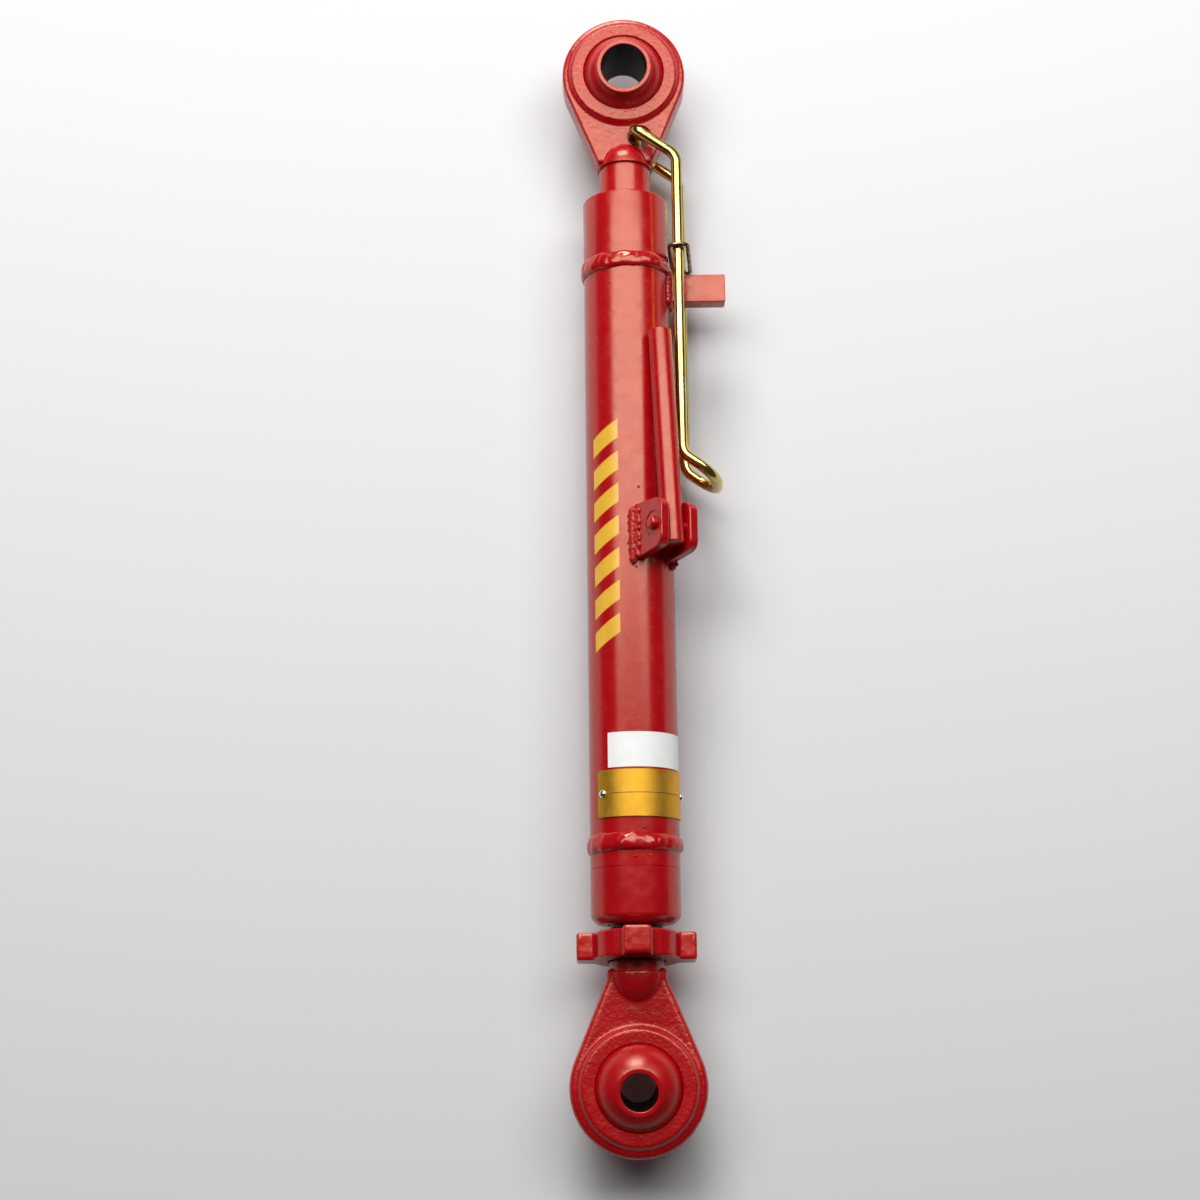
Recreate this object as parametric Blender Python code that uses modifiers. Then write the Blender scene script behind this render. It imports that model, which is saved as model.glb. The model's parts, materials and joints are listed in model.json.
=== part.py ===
"""Tractor top link, adjustable, in metres with +Z up.

A tubular barrel with a threaded nut at each end turns on two forged eyes, so the distance between their ball
joints changes. A round lever folds down along the barrel, a lock nut holds the lower thread, and a wire bail
hung on the upper eye straddles a lug on the barrel to stop it from turning.

The link lies along Y with its large bore at +Y. Its lowest point is at z = 0, and x = 0 and y = 0 are the
middle of its outline. Distances along the link are measured from the upper ball's centre, growing towards -Y.
"""

import math

import bmesh
import bpy
from mathutils import Matrix, Vector

# Fits and cuts shared by all pieces
CLEARANCE = 0.0003
CUT_OVERRUN = 0.003
MERGE_DISTANCE = 0.00002

# Whole link, between the centres of the balls
LINK_LENGTH = 0.5588

# Balls
BALL_RADIUS = 0.025
BALL_LEAN = math.radians(6.5)
BORE_CHAMFER = 0.0005
UPPER_BORE_DIAMETER = 0.0254
UPPER_BALL_WIDTH = 0.051
UPPER_COLLAR_DIAMETER = 0.0304
LOWER_BORE_DIAMETER = 0.019
LOWER_BALL_WIDTH = 0.044

# Forged eyes
UPPER_EYE_RADIUS = 0.0346
LOWER_EYE_RADIUS = 0.0356
EYE_WEB_THICKNESS = 0.019
EYE_RING_DIAMETER = 0.058
EYE_RING_WIDTH = 0.025
EYE_RING_SLOPE = 0.0027
EYE_EDGE_ROUND = 0.0022
EYE_SEAT_LIP = 0.0006
EYE_TAPER = math.radians(22.5)
EYE_NECK_LENGTH = 0.0535
NOSE_TIP_DISTANCE = 0.0390
UPPER_NOSE_RADIUS = 0.0152
UPPER_NOSE_LENGTH = 0.0156
LOWER_NOSE_RADIUS = 0.0158
LOWER_NOSE_LENGTH = 0.0198
NOSE_GROOVE_WIDTH = 0.0012
NOSE_GROOVE_DEPTH = 0.0008
SHANK_DIAMETER = 0.0286
SHANK_ENGAGEMENT = 0.150
SHANK_END_CHAMFER = 0.002

# Hole in the upper eye's web that carries the bail
BAIL_HOLE_DIAMETER = 0.0138
BAIL_HOLE_SIDE = 0.0086
BAIL_HOLE_DISTANCE = 0.0380

# Barrel: tube and end nuts
TUBE_OUTER_DIAMETER = 0.047
TUBE_WALL = 0.0045
UPPER_EYE_TO_BARREL = 0.075
LOWER_EYE_TO_BARREL = 0.083
END_NUT_LENGTH = 0.041
SPIGOT_LENGTH = 0.012
NUT_TOP_ROUND = 0.0012
NUT_BOTTOM_CHAMFER = 0.0034
NUT_GROOVE_DISTANCE = 0.0284
NUT_GROOVE_DEPTH = 0.0005

# Weld beads round the barrel
WELD_PREP_DEPTH = 0.0025
WELD_HALF_WIDTH = 0.0034
WELD_CROWN = 0.0017
WELD_ROOT_GAP = 0.00015

# Locking lug
LUG_DISTANCE = 0.1268
LUG_LENGTH = 0.016
LUG_THICKNESS = 0.010
LUG_REACH = 0.0546
LUG_CORNER_RADIUS = 0.002
LUG_EDGE_ROUND = 0.0006
LUG_WELD_WIDTH = 0.0032
LUG_WELD_HEIGHT = 0.0034

# Lever and its bracket
LEVER_DIRECTION = math.radians(35.0)
LEVER_DIAMETER = 0.0125
LEVER_LENGTH = 0.1212
LEVER_BUTT_LENGTH = 0.0097
LEVER_EDGE_ROUND = 0.0008
PIN_DISTANCE = 0.2698
PIN_TO_EAR_END = 0.0069
PIN_DIAMETER = 0.007
PIN_PROUD = 0.0028
PIN_EDGE_ROUND = 0.0012
PIN_SEAT_DIAMETER = 0.014
PIN_SEAT_DEPTH = 0.0005
EAR_GAP = 0.0135
EAR_THICKNESS = 0.0055
EAR_LENGTH = 0.0308
EAR_SETBACK = 0.0016
EAR_SLANT = 0.0045
EAR_REACH = 0.0445
EAR_CORNER_RADIUS = 0.006
EAR_EDGE_ROUND = 0.0007
EAR_FOOT_DEPTH = 0.008
EAR_WELD_RADIUS = 0.0048
EAR_WELD_OVERHANG = 0.0022

# Lock nut
LOCK_NUT_THICKNESS = 0.0143
LOCK_NUT_GAP = 0.0047
LOCK_NUT_ROOT_RADIUS = 0.0236
LOCK_NUT_LOBE_RADIUS = 0.0312
LOCK_NUT_LOBE_WIDTH = 0.0146
LOCK_NUT_CORNER_RADIUS = 0.0018
LOCK_NUT_FILLET = 0.0015
LOCK_NUT_EDGE_ROUND = 0.0008
LOCK_NUT_LOBES = 4
LOCK_NUT_LEAN = math.radians(5.0)

# Locking bail
BAIL_WIRE_DIAMETER = 0.006
BAIL_LEG_SPACING = 0.036
BAIL_LEG_SIDE = 0.0298
BAIL_LEAN = math.radians(4.5)
BAIL_REST_ANGLE = math.radians(35.0)
BAIL_UPPER_BEND_DISTANCE = 0.0541
BAIL_LOWER_BEND_DISTANCE = 0.2259
BAIL_END_SIDE = 0.0478
BAIL_END_DISTANCE = 0.2393
BAIL_TIP_GAP = 0.005
BAIL_TIP_RADIUS = 0.0055
BAIL_BEND_RADIUS = 0.009
BAIL_LOOP_RADIUS = 0.0135

# Keeper ring round the bail's legs
RING_WIRE_DIAMETER = 0.0024
RING_DISTANCE = 0.1086
RING_INNER_WIDTH = 0.0076
RING_CORNER_RADIUS = 0.0036

# Rating plate and its rivets
PLATE_TO_BARREL_END = 0.0539
PLATE_HEIGHT = 0.0245
PLATE_THICKNESS = 0.0005
PLATE_START_ANGLE = math.radians(-52.0)
PLATE_END_ANGLE = math.radians(96.0)
RIVET_DIAMETER = 0.0043
RIVET_HEIGHT = 0.0012
RIVET_ANGLE_INSET = math.radians(9.0)

# Facet counts
ROUND_STEPS = 44
SMALL_ROUND_STEPS = 20
BALL_STEPS = 36
BALL_ARC_STEPS = 12
NOSE_ARC_STEPS = 6
CROWN_STEPS = 4
CORNER_STEPS = 5
NUT_CORNER_STEPS = 3
RING_CORNER_STEPS = 3
EDGE_STEPS = 2
EDGE_ARC_STEPS = 3
LOCK_NUT_ROOT_STEPS = 9
LOCK_NUT_FILLET_STEPS = 2
BAIL_WIRE_RESOLUTION = 3
RING_WIRE_RESOLUTION = 2

# Places worked out from the sizes above
AXIS_X = -(LUG_REACH - LOWER_EYE_RADIUS) / 2
AXIS_Z = ((LOCK_NUT_LOBE_RADIUS - LOCK_NUT_EDGE_ROUND) * math.cos(LOCK_NUT_LEAN)
          + (LOCK_NUT_THICKNESS / 2 - LOCK_NUT_EDGE_ROUND) * math.sin(LOCK_NUT_LEAN) + LOCK_NUT_EDGE_ROUND)
UPPER_BALL_Y = (LINK_LENGTH + LOWER_EYE_RADIUS - UPPER_EYE_RADIUS) / 2
TUBE_RADIUS = TUBE_OUTER_DIAMETER / 2
TUBE_INNER_RADIUS = TUBE_RADIUS - TUBE_WALL
SHANK_RADIUS = SHANK_DIAMETER / 2
THREAD_BORE_RADIUS = SHANK_RADIUS + CLEARANCE
BARREL_START = UPPER_EYE_TO_BARREL
BARREL_END = LINK_LENGTH - LOWER_EYE_TO_BARREL
UPPER_WELD_DISTANCE = BARREL_START + END_NUT_LENGTH
LOWER_WELD_DISTANCE = BARREL_END - END_NUT_LENGTH
PLATE_MIDDLE = BARREL_END - PLATE_TO_BARREL_END - PLATE_HEIGHT / 2
PIN_RADIAL_DISTANCE = EAR_REACH - PIN_TO_EAR_END
LINK_FRAME = Matrix.Translation((AXIS_X, UPPER_BALL_Y, AXIS_Z))


def clear_scene():
    for item in list(bpy.data.objects):
        bpy.data.objects.remove(item, do_unlink=True)


def new_collection(name):
    group = bpy.data.collections.new(name)
    bpy.context.scene.collection.children.link(group)
    return group


def new_material(name, colour, metallic, roughness):
    material = bpy.data.materials.new(name)
    material.use_nodes = True
    shader = material.node_tree.nodes["Principled BSDF"]
    shader.inputs["Base Color"].default_value = (*colour, 1.0)
    shader.inputs["Metallic"].default_value = metallic
    shader.inputs["Roughness"].default_value = roughness
    return material


def add_object(name, data, frame=None):
    """A new object, placed by its frame, among the cutters until finish() makes it a part."""
    item = bpy.data.objects.new(name, data)
    item.matrix_world = frame or Matrix()
    item.hide_render = True
    item.display_type = 'WIRE'
    CUTTERS.objects.link(item)
    return item


def evaluated_mesh(item):
    bpy.context.view_layer.update()
    evaluated = item.evaluated_get(bpy.context.evaluated_depsgraph_get())
    mesh = bpy.data.meshes.new_from_object(evaluated)
    shape = bmesh.new()
    shape.from_mesh(mesh)
    bmesh.ops.remove_doubles(shape, verts=shape.verts, dist=MERGE_DISTANCE)
    bmesh.ops.recalc_face_normals(shape, faces=shape.faces)
    shape.to_mesh(mesh)
    shape.free()
    return mesh


def finish(item, material):
    """Settles the modifiers into the mesh and moves the object from the cutters to the parts."""
    mesh = evaluated_mesh(item)
    old = item.data
    item.modifiers.clear()
    item.data = mesh
    bpy.data.meshes.remove(old)
    mesh.shade_smooth()
    mesh.set_sharp_from_angle(angle=math.radians(32))
    mesh.materials.clear()
    mesh.materials.append(material)
    item.hide_render = False
    item.display_type = 'TEXTURED'
    CUTTERS.objects.unlink(item)
    PARTS.objects.link(item)
    return item


def boolean(item, operation, tool):
    change = item.modifiers.new(operation.lower(), 'BOOLEAN')
    change.operation = operation
    change.solver = 'EXACT'
    change.object = tool


def bevel(item, width, segments, angle):
    rounding = item.modifiers.new("rounding", 'BEVEL')
    rounding.width = width
    rounding.segments = segments
    rounding.limit_method = 'ANGLE'
    rounding.angle_limit = math.radians(angle)
    rounding.use_clamp_overlap = True


def turned(name, profile, frame=None, steps=ROUND_STEPS):
    """A solid turned about its own Z, from (radius, height) points that run down its outer side.

    A profile that starts off the axis is closed back to its first point, which leaves a bore.
    """
    mesh = bpy.data.meshes.new(name)
    edges = [(index, index + 1) for index in range(len(profile) - 1)]
    if profile[0][0] > 0.0:
        edges.append((len(profile) - 1, 0))
    mesh.from_pydata([(radius, 0.0, height) for radius, height in profile], edges, [])
    item = add_object(name, mesh, frame)
    screw = item.modifiers.new("turn", 'SCREW')
    screw.axis = 'Z'
    screw.steps = steps
    screw.render_steps = steps
    screw.use_merge_vertices = True
    screw.merge_threshold = MERGE_DISTANCE
    return item


def turned_on_link(name, profile, frame=None, steps=ROUND_STEPS):
    """A solid turned about the link's axis, from (radius, distance) points with the distance growing."""
    lengthwise = (frame or LINK_FRAME) @ Matrix.Rotation(math.radians(-90), 4, 'X')
    return turned(name, [(radius, -distance) for radius, distance in profile], lengthwise, steps)


def cylinder(name, radius, length, frame, steps=SMALL_ROUND_STEPS):
    """A cylinder along its own Z, centred on its frame."""
    mesh = bpy.data.meshes.new(name)
    shape = bmesh.new()
    bmesh.ops.create_cone(shape, cap_ends=True, segments=steps, radius1=radius, radius2=radius, depth=length)
    shape.to_mesh(mesh)
    shape.free()
    return add_object(name, mesh, frame)


def box(name, size, frame):
    mesh = bpy.data.meshes.new(name)
    shape = bmesh.new()
    bmesh.ops.create_cube(shape, size=1.0, matrix=Matrix.Diagonal((*size, 1.0)))
    shape.to_mesh(mesh)
    shape.free()
    return add_object(name, mesh, frame)


def arc(centre, radius, start, end, steps):
    """Points of a plane arc, its ends included."""
    points = []
    for index in range(steps + 1):
        angle = start + (end - start) * index / steps
        points.append((centre[0] + radius * math.cos(angle), centre[1] + radius * math.sin(angle)))
    return points


def rounded_path(corners, radii, steps, closed=False):
    """The corners as vectors, each rounded by its radius. A radius of zero keeps the corner."""
    points = []
    count = len(corners)
    for index, (corner, radius) in enumerate(zip(corners, radii)):
        corner = Vector(corner)
        if radius == 0.0 or (not closed and index in (0, count - 1)):
            points.append(corner)
            continue
        towards = (Vector(corners[index - 1]) - corner).normalized()
        onwards = (Vector(corners[(index + 1) % count]) - corner).normalized()
        half = towards.angle(onwards) / 2
        middle = (towards + onwards).normalized()
        centre = corner + middle * radius / math.sin(half)
        sweep = math.pi - 2 * half
        side = (onwards - middle * onwards.dot(middle)).normalized()
        for step in range(steps + 1):
            angle = sweep * (step / steps - 0.5)
            points.append(centre - middle * radius * math.cos(angle) + side * radius * math.sin(angle))
    return points


def plate(name, outline, thickness, frame=None):
    """A flat plate in its own XY plane, with half its thickness to each side."""
    curve = bpy.data.curves.new(name + "_outline", 'CURVE')
    curve.dimensions = '2D'
    curve.fill_mode = 'BOTH'
    curve.extrude = thickness / 2
    spline = curve.splines.new('POLY')
    spline.points.add(len(outline) - 1)
    for point, place in zip(spline.points, outline):
        point.co = (place[0], place[1], 0.0, 1.0)
    spline.use_cyclic_u = True
    guide = add_object(name + "_outline", curve)
    mesh = evaluated_mesh(guide)
    bpy.data.objects.remove(guide, do_unlink=True)
    shape = bmesh.new()
    shape.from_mesh(mesh)
    bmesh.ops.dissolve_limit(shape, angle_limit=math.radians(0.5), verts=shape.verts, edges=shape.edges)
    shape.to_mesh(mesh)
    shape.free()
    return add_object(name, mesh, frame)


def wire(name, points, diameter, resolution, frame, closed=False):
    """A bent wire that follows the points."""
    curve = bpy.data.curves.new(name, 'CURVE')
    curve.dimensions = '3D'
    curve.bevel_depth = diameter / 2
    curve.bevel_resolution = resolution
    curve.use_fill_caps = True
    spline = curve.splines.new('POLY')
    spline.points.add(len(points) - 1)
    for point, place in zip(spline.points, points):
        point.co = (*place, 1.0)
    spline.use_cyclic_u = closed
    return add_object(name, curve, frame)


def ball_profile(width, bore_diameter, collar_radius):
    """The outer side of a bored ball from its upper face to its lower one, then the bore."""
    half = width / 2
    bore = bore_diameter / 2
    edge_angle = math.asin(collar_radius / BALL_RADIUS)
    profile = [(bore + BORE_CHAMFER, half)]
    if BALL_RADIUS * math.cos(edge_angle) < half - MERGE_DISTANCE:
        profile.append((collar_radius, half))
    for index in range(BALL_ARC_STEPS + 1):
        angle = edge_angle + (math.pi - 2 * edge_angle) * index / BALL_ARC_STEPS
        profile.append((BALL_RADIUS * math.sin(angle), BALL_RADIUS * math.cos(angle)))
    if BALL_RADIUS * math.cos(edge_angle) < half - MERGE_DISTANCE:
        profile.append((collar_radius, -half))
    profile.append((bore + BORE_CHAMFER, -half))
    profile.append((bore, -half + BORE_CHAMFER))
    profile.append((bore, half - BORE_CHAMFER))
    return profile


def make_ball(name, width, bore_diameter, collar_radius, frame, material):
    ball = turned(name, ball_profile(width, bore_diameter, collar_radius), frame, BALL_STEPS)
    return finish(ball, material)


def eye_outline(outer_radius):
    """The forging's plan: a disc round the ball that tapers in straight sides to the neck."""
    outline = arc((0.0, 0.0), outer_radius, -EYE_TAPER, math.pi + EYE_TAPER, ROUND_STEPS)
    neck_half = outer_radius / math.cos(EYE_TAPER) - EYE_NECK_LENGTH * math.tan(EYE_TAPER)
    outline.append((-neck_half, -EYE_NECK_LENGTH))
    outline.append((neck_half, -EYE_NECK_LENGTH))
    return outline


def nose_profile(nose_radius, nose_length, shank_end, grooved):
    """The domed nose in front of the thread, and the threaded shank behind it."""
    profile = []
    for index in range(NOSE_ARC_STEPS + 1):
        angle = math.pi / 2 * index / NOSE_ARC_STEPS
        along = NOSE_TIP_DISTANCE + nose_length * (1 - math.cos(angle))
        profile.append((nose_radius * math.sin(angle), along))
    nose_end = NOSE_TIP_DISTANCE + nose_length
    if grooved:
        profile.append((nose_radius - NOSE_GROOVE_DEPTH, nose_end + NOSE_GROOVE_WIDTH / 2))
        profile.append((SHANK_RADIUS, nose_end + NOSE_GROOVE_WIDTH))
    else:
        profile.append((SHANK_RADIUS, nose_end + nose_radius - SHANK_RADIUS))
    profile.append((SHANK_RADIUS, shank_end - SHANK_END_CHAMFER))
    profile.append((SHANK_RADIUS - SHANK_END_CHAMFER, shank_end))
    profile.append((0.0, shank_end))
    return profile


def make_eye(name, frame, outer_radius, nose, barrel_distance, material, bail_hole=False):
    """A forged eye with its spherical ball seat, domed nose and threaded shank, pointing to its own -Y."""
    eye = plate(name, eye_outline(outer_radius), EYE_WEB_THICKNESS, frame)
    bevel(eye, EYE_EDGE_ROUND, EDGE_STEPS, 60)
    ring_radius = EYE_RING_DIAMETER / 2
    half_ring = EYE_RING_WIDTH / 2
    foot_height = EYE_WEB_THICKNESS / 2 - EYE_SEAT_LIP
    foot_radius = ring_radius + EYE_RING_SLOPE
    ring_profile = [(0.0, half_ring), (ring_radius, half_ring), (foot_radius, foot_height),
                    (foot_radius, -foot_height), (ring_radius, -half_ring), (0.0, -half_ring)]
    ring = turned(name + "_ring", ring_profile, frame)
    boolean(eye, 'UNION', ring)
    nose_radius, nose_length, grooved = nose
    shank_end = barrel_distance + SHANK_ENGAGEMENT
    shank = turned_on_link(name + "_shank", nose_profile(nose_radius, nose_length, shank_end, grooved), frame)
    boolean(eye, 'UNION', shank)
    seat_radius = BALL_RADIUS + CLEARANCE
    seat_profile = []
    for index in range(BALL_ARC_STEPS + 1):
        angle = math.pi * index / BALL_ARC_STEPS
        seat_profile.append((seat_radius * math.sin(angle), seat_radius * math.cos(angle)))
    boolean(eye, 'DIFFERENCE', turned(name + "_seat", seat_profile, frame, BALL_STEPS))
    if bail_hole:
        place = frame @ Matrix.Translation((BAIL_HOLE_SIDE, -BAIL_HOLE_DISTANCE, 0.0))
        depth = 2 * UPPER_NOSE_RADIUS + CUT_OVERRUN
        boolean(eye, 'DIFFERENCE', cylinder(name + "_bail_hole", BAIL_HOLE_DIAMETER / 2, depth, place))
    return finish(eye, material)


def make_tube(material):
    prep_inner = TUBE_RADIUS - WELD_PREP_DEPTH
    start = UPPER_WELD_DISTANCE + WELD_ROOT_GAP
    end = LOWER_WELD_DISTANCE - WELD_ROOT_GAP
    profile = [(TUBE_INNER_RADIUS, start), (prep_inner, start), (TUBE_RADIUS, start + WELD_PREP_DEPTH),
               (TUBE_RADIUS, end - WELD_PREP_DEPTH), (prep_inner, end), (TUBE_INNER_RADIUS, end)]
    return finish(turned_on_link("barrel_tube", profile), material)


def make_upper_nut(material):
    end = UPPER_WELD_DISTANCE - WELD_ROOT_GAP
    spigot = TUBE_INNER_RADIUS - CLEARANCE
    profile = [(THREAD_BORE_RADIUS + NUT_TOP_ROUND, BARREL_START)]
    centre = (TUBE_RADIUS - NUT_TOP_ROUND, BARREL_START + NUT_TOP_ROUND)
    profile += arc(centre, NUT_TOP_ROUND, -math.pi / 2, 0.0, EDGE_ARC_STEPS)
    profile += [(TUBE_RADIUS, end - WELD_PREP_DEPTH), (TUBE_RADIUS - WELD_PREP_DEPTH, end), (spigot, end),
                (spigot, end + SPIGOT_LENGTH), (THREAD_BORE_RADIUS, end + SPIGOT_LENGTH),
                (THREAD_BORE_RADIUS, BARREL_START + NUT_TOP_ROUND)]
    return finish(turned_on_link("upper_end_nut", profile), material)


def make_lower_nut(material):
    start = LOWER_WELD_DISTANCE + WELD_ROOT_GAP
    spigot = TUBE_INNER_RADIUS - CLEARANCE
    groove = BARREL_END - NUT_GROOVE_DISTANCE
    profile = [(THREAD_BORE_RADIUS, start - SPIGOT_LENGTH), (spigot, start - SPIGOT_LENGTH), (spigot, start),
               (TUBE_RADIUS - WELD_PREP_DEPTH, start), (TUBE_RADIUS, start + WELD_PREP_DEPTH),
               (TUBE_RADIUS, groove - NUT_GROOVE_DEPTH), (TUBE_RADIUS - NUT_GROOVE_DEPTH, groove),
               (TUBE_RADIUS, groove + NUT_GROOVE_DEPTH), (TUBE_RADIUS, BARREL_END - NUT_BOTTOM_CHAMFER),
               (TUBE_RADIUS - NUT_BOTTOM_CHAMFER, BARREL_END), (THREAD_BORE_RADIUS + NUT_TOP_ROUND, BARREL_END),
               (THREAD_BORE_RADIUS, BARREL_END - NUT_TOP_ROUND)]
    return finish(turned_on_link("lower_end_nut", profile), material)


def make_barrel_weld(name, distance, material):
    """A crowned bead that fills the V between the tube and an end nut."""
    lip = TUBE_RADIUS + CLEARANCE
    flank_half = WELD_PREP_DEPTH
    chord = math.hypot(WELD_HALF_WIDTH, WELD_CROWN)
    crown_radius = chord * chord / (2 * WELD_CROWN)
    half_angle = math.asin(WELD_HALF_WIDTH / crown_radius)
    profile = []
    for index in range(CROWN_STEPS + 1):
        angle = half_angle * (2 * index / CROWN_STEPS - 1)
        radius = lip + WELD_CROWN - crown_radius * (1 - math.cos(angle))
        profile.append((radius, distance + crown_radius * math.sin(angle)))
    profile.append((lip, distance + flank_half))
    profile.append((lip - flank_half, distance))
    profile.append((lip, distance - flank_half))
    return finish(turned_on_link(name, profile), material)


def lug_frame():
    """Local X runs out along the lug, local Y along the link."""
    return LINK_FRAME @ Matrix.Translation((0.0, -LUG_DISTANCE, 0.0))


def make_lug(envelope, material):
    """The flat stop that the bail straddles, cut to the round of the tube."""
    half = LUG_LENGTH / 2
    corners = [(0.0, -half), (LUG_REACH, -half), (LUG_REACH, half), (0.0, half)]
    radii = [0.0, LUG_CORNER_RADIUS, LUG_CORNER_RADIUS, 0.0]
    outline = rounded_path([(*corner, 0.0) for corner in corners], radii, CORNER_STEPS, closed=True)
    lug = plate("locking_lug", outline, LUG_THICKNESS, lug_frame())
    bevel(lug, LUG_EDGE_ROUND, 1, 60)
    boolean(lug, 'DIFFERENCE', envelope)
    return finish(lug, material)


def make_barrel_envelope():
    """A cutter of the tube with its weld beads, grown by the clearance, which shapes what is welded on."""
    radius = TUBE_RADIUS + CLEARANCE
    crown = radius + WELD_CROWN + CLEARANCE
    reach = WELD_HALF_WIDTH + CLEARANCE
    profile = [(0.0, BARREL_START), (radius, BARREL_START)]
    for weld in (UPPER_WELD_DISTANCE, LOWER_WELD_DISTANCE):
        profile += [(radius, weld - reach), (crown, weld), (crown, weld + WELD_HALF_WIDTH / 2),
                    (radius + CLEARANCE, weld + reach), (radius, weld + reach)]
    profile += [(radius, BARREL_END), (0.0, BARREL_END)]
    return turned_on_link("barrel_envelope", profile)


def make_lug_weld(envelope, material):
    """A fillet of weld all round the foot of the lug."""
    foot_length = LUG_LENGTH + 2 * LUG_WELD_WIDTH
    foot_height = LUG_THICKNESS + 2 * LUG_WELD_WIDTH
    inner = TUBE_RADIUS - LUG_WELD_HEIGHT
    outer = TUBE_RADIUS + LUG_WELD_HEIGHT
    mesh = bpy.data.meshes.new("lug_weld")
    shape = bmesh.new()
    bmesh.ops.create_cube(shape, size=1.0)
    for vertex in shape.verts:
        narrowing = 0.0
        if vertex.co.x > 0.0:
            narrowing = 2 * LUG_WELD_WIDTH - 2 * CLEARANCE
        vertex.co.y *= foot_length - narrowing
        vertex.co.z *= foot_height - narrowing
        vertex.co.x = inner if vertex.co.x < 0.0 else outer
    shape.to_mesh(mesh)
    shape.free()
    weld = add_object("lug_weld", mesh, lug_frame())
    room = (4 * LUG_REACH, LUG_LENGTH + 2 * CLEARANCE, LUG_THICKNESS + 2 * CLEARANCE)
    boolean(weld, 'DIFFERENCE', box("lug_weld_room", room, lug_frame()))
    boolean(weld, 'DIFFERENCE', envelope)
    return finish(weld, material)


def bracket_frame():
    """On the link's axis below the pin: Z runs out to the pin, X along the pin and Y along the link."""
    return LINK_FRAME @ Matrix.Translation((0.0, -PIN_DISTANCE, 0.0)) @ Matrix.Rotation(LEVER_DIRECTION, 4, 'Y')


def make_ear(name, side, envelope, material):
    """One of the two plates that carry the lever's pin, welded edgewise to the tube, with a slanting end."""
    upper = EAR_LENGTH / 2 - EAR_SETBACK
    lower = -EAR_LENGTH / 2 - EAR_SETBACK
    foot = TUBE_RADIUS - EAR_FOOT_DEPTH
    corners = [(lower, foot), (upper, foot), (upper, EAR_REACH), (lower + EAR_SLANT, EAR_REACH)]
    radii = [0.0, 0.0, EAR_CORNER_RADIUS, EAR_CORNER_RADIUS]
    outline = rounded_path([(*corner, 0.0) for corner in corners], radii, CORNER_STEPS, closed=True)
    offset = side * (EAR_GAP + EAR_THICKNESS) / 2
    upright = Matrix(((0.0, 0.0, 1.0, 0.0), (1.0, 0.0, 0.0, 0.0), (0.0, 1.0, 0.0, 0.0), (0.0, 0.0, 0.0, 1.0)))
    frame = bracket_frame() @ Matrix.Translation((offset, 0.0, 0.0)) @ upright
    ear = plate(name, outline, EAR_THICKNESS, frame)
    bevel(ear, EAR_EDGE_ROUND, EDGE_STEPS, 60)
    boolean(ear, 'DIFFERENCE', envelope)
    hole_radius = PIN_DIAMETER / 2 + CLEARANCE
    boolean(ear, 'DIFFERENCE', pin_cylinder(name + "_hole", hole_radius, 0.0, 2 * EAR_GAP + 4 * EAR_THICKNESS))
    face = side * (EAR_GAP / 2 + EAR_THICKNESS)
    boolean(ear, 'DIFFERENCE', pin_cylinder(name + "_seat", PIN_SEAT_DIAMETER / 2, face, 2 * PIN_SEAT_DEPTH))
    return finish(ear, material)


def pin_cylinder(name, radius, offset, length):
    """A cylinder on the pin's axis, its middle at the offset along it."""
    frame = bracket_frame() @ Matrix.Translation((offset, 0.0, PIN_RADIAL_DISTANCE))
    return cylinder(name, radius, length, frame @ Matrix.Rotation(math.radians(90), 4, 'Y'))


def make_ear_weld(name, side, envelope, material):
    """A bead of weld along the outer side of an ear's foot."""
    face = EAR_GAP / 2 + EAR_THICKNESS
    height = math.sqrt(TUBE_RADIUS ** 2 - face ** 2)
    half = EAR_LENGTH / 2 + EAR_WELD_OVERHANG
    profile = arc((0.0, half - EAR_WELD_RADIUS), EAR_WELD_RADIUS, math.pi / 2, 0.0, CORNER_STEPS)
    profile += [(radius, -along) for radius, along in reversed(profile)]
    profile[0] = (0.0, half)
    profile[-1] = (0.0, -half)
    frame = bracket_frame() @ Matrix.Translation((side * face, -EAR_SETBACK, height))
    lengthwise = frame @ Matrix.Rotation(math.radians(-90), 4, 'X')
    weld = turned(name, profile, lengthwise, SMALL_ROUND_STEPS)
    room_size = (2 * face + 2 * CLEARANCE, 2 * EAR_LENGTH, 2 * EAR_REACH)
    room = box(name + "_room", room_size, bracket_frame() @ Matrix.Translation((0.0, 0.0, EAR_REACH)))
    boolean(weld, 'DIFFERENCE', room)
    boolean(weld, 'DIFFERENCE', envelope)
    return finish(weld, material)


def make_pin(material):
    length = EAR_GAP + 2 * EAR_THICKNESS + 2 * PIN_PROUD
    radius = PIN_DIAMETER / 2
    half = length / 2
    centre = (radius - PIN_EDGE_ROUND, half - PIN_EDGE_ROUND)
    upper = arc(centre, PIN_EDGE_ROUND, math.pi / 2, 0.0, EDGE_ARC_STEPS)
    lower = [(across, -along) for across, along in reversed(upper)]
    profile = [(0.0, half)] + upper + lower + [(0.0, -half)]
    frame = bracket_frame() @ Matrix.Translation((0.0, 0.0, PIN_RADIAL_DISTANCE))
    return finish(turned("lever_pin", profile, frame @ Matrix.Rotation(math.radians(90), 4, 'Y'),
                         SMALL_ROUND_STEPS), material)


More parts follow.
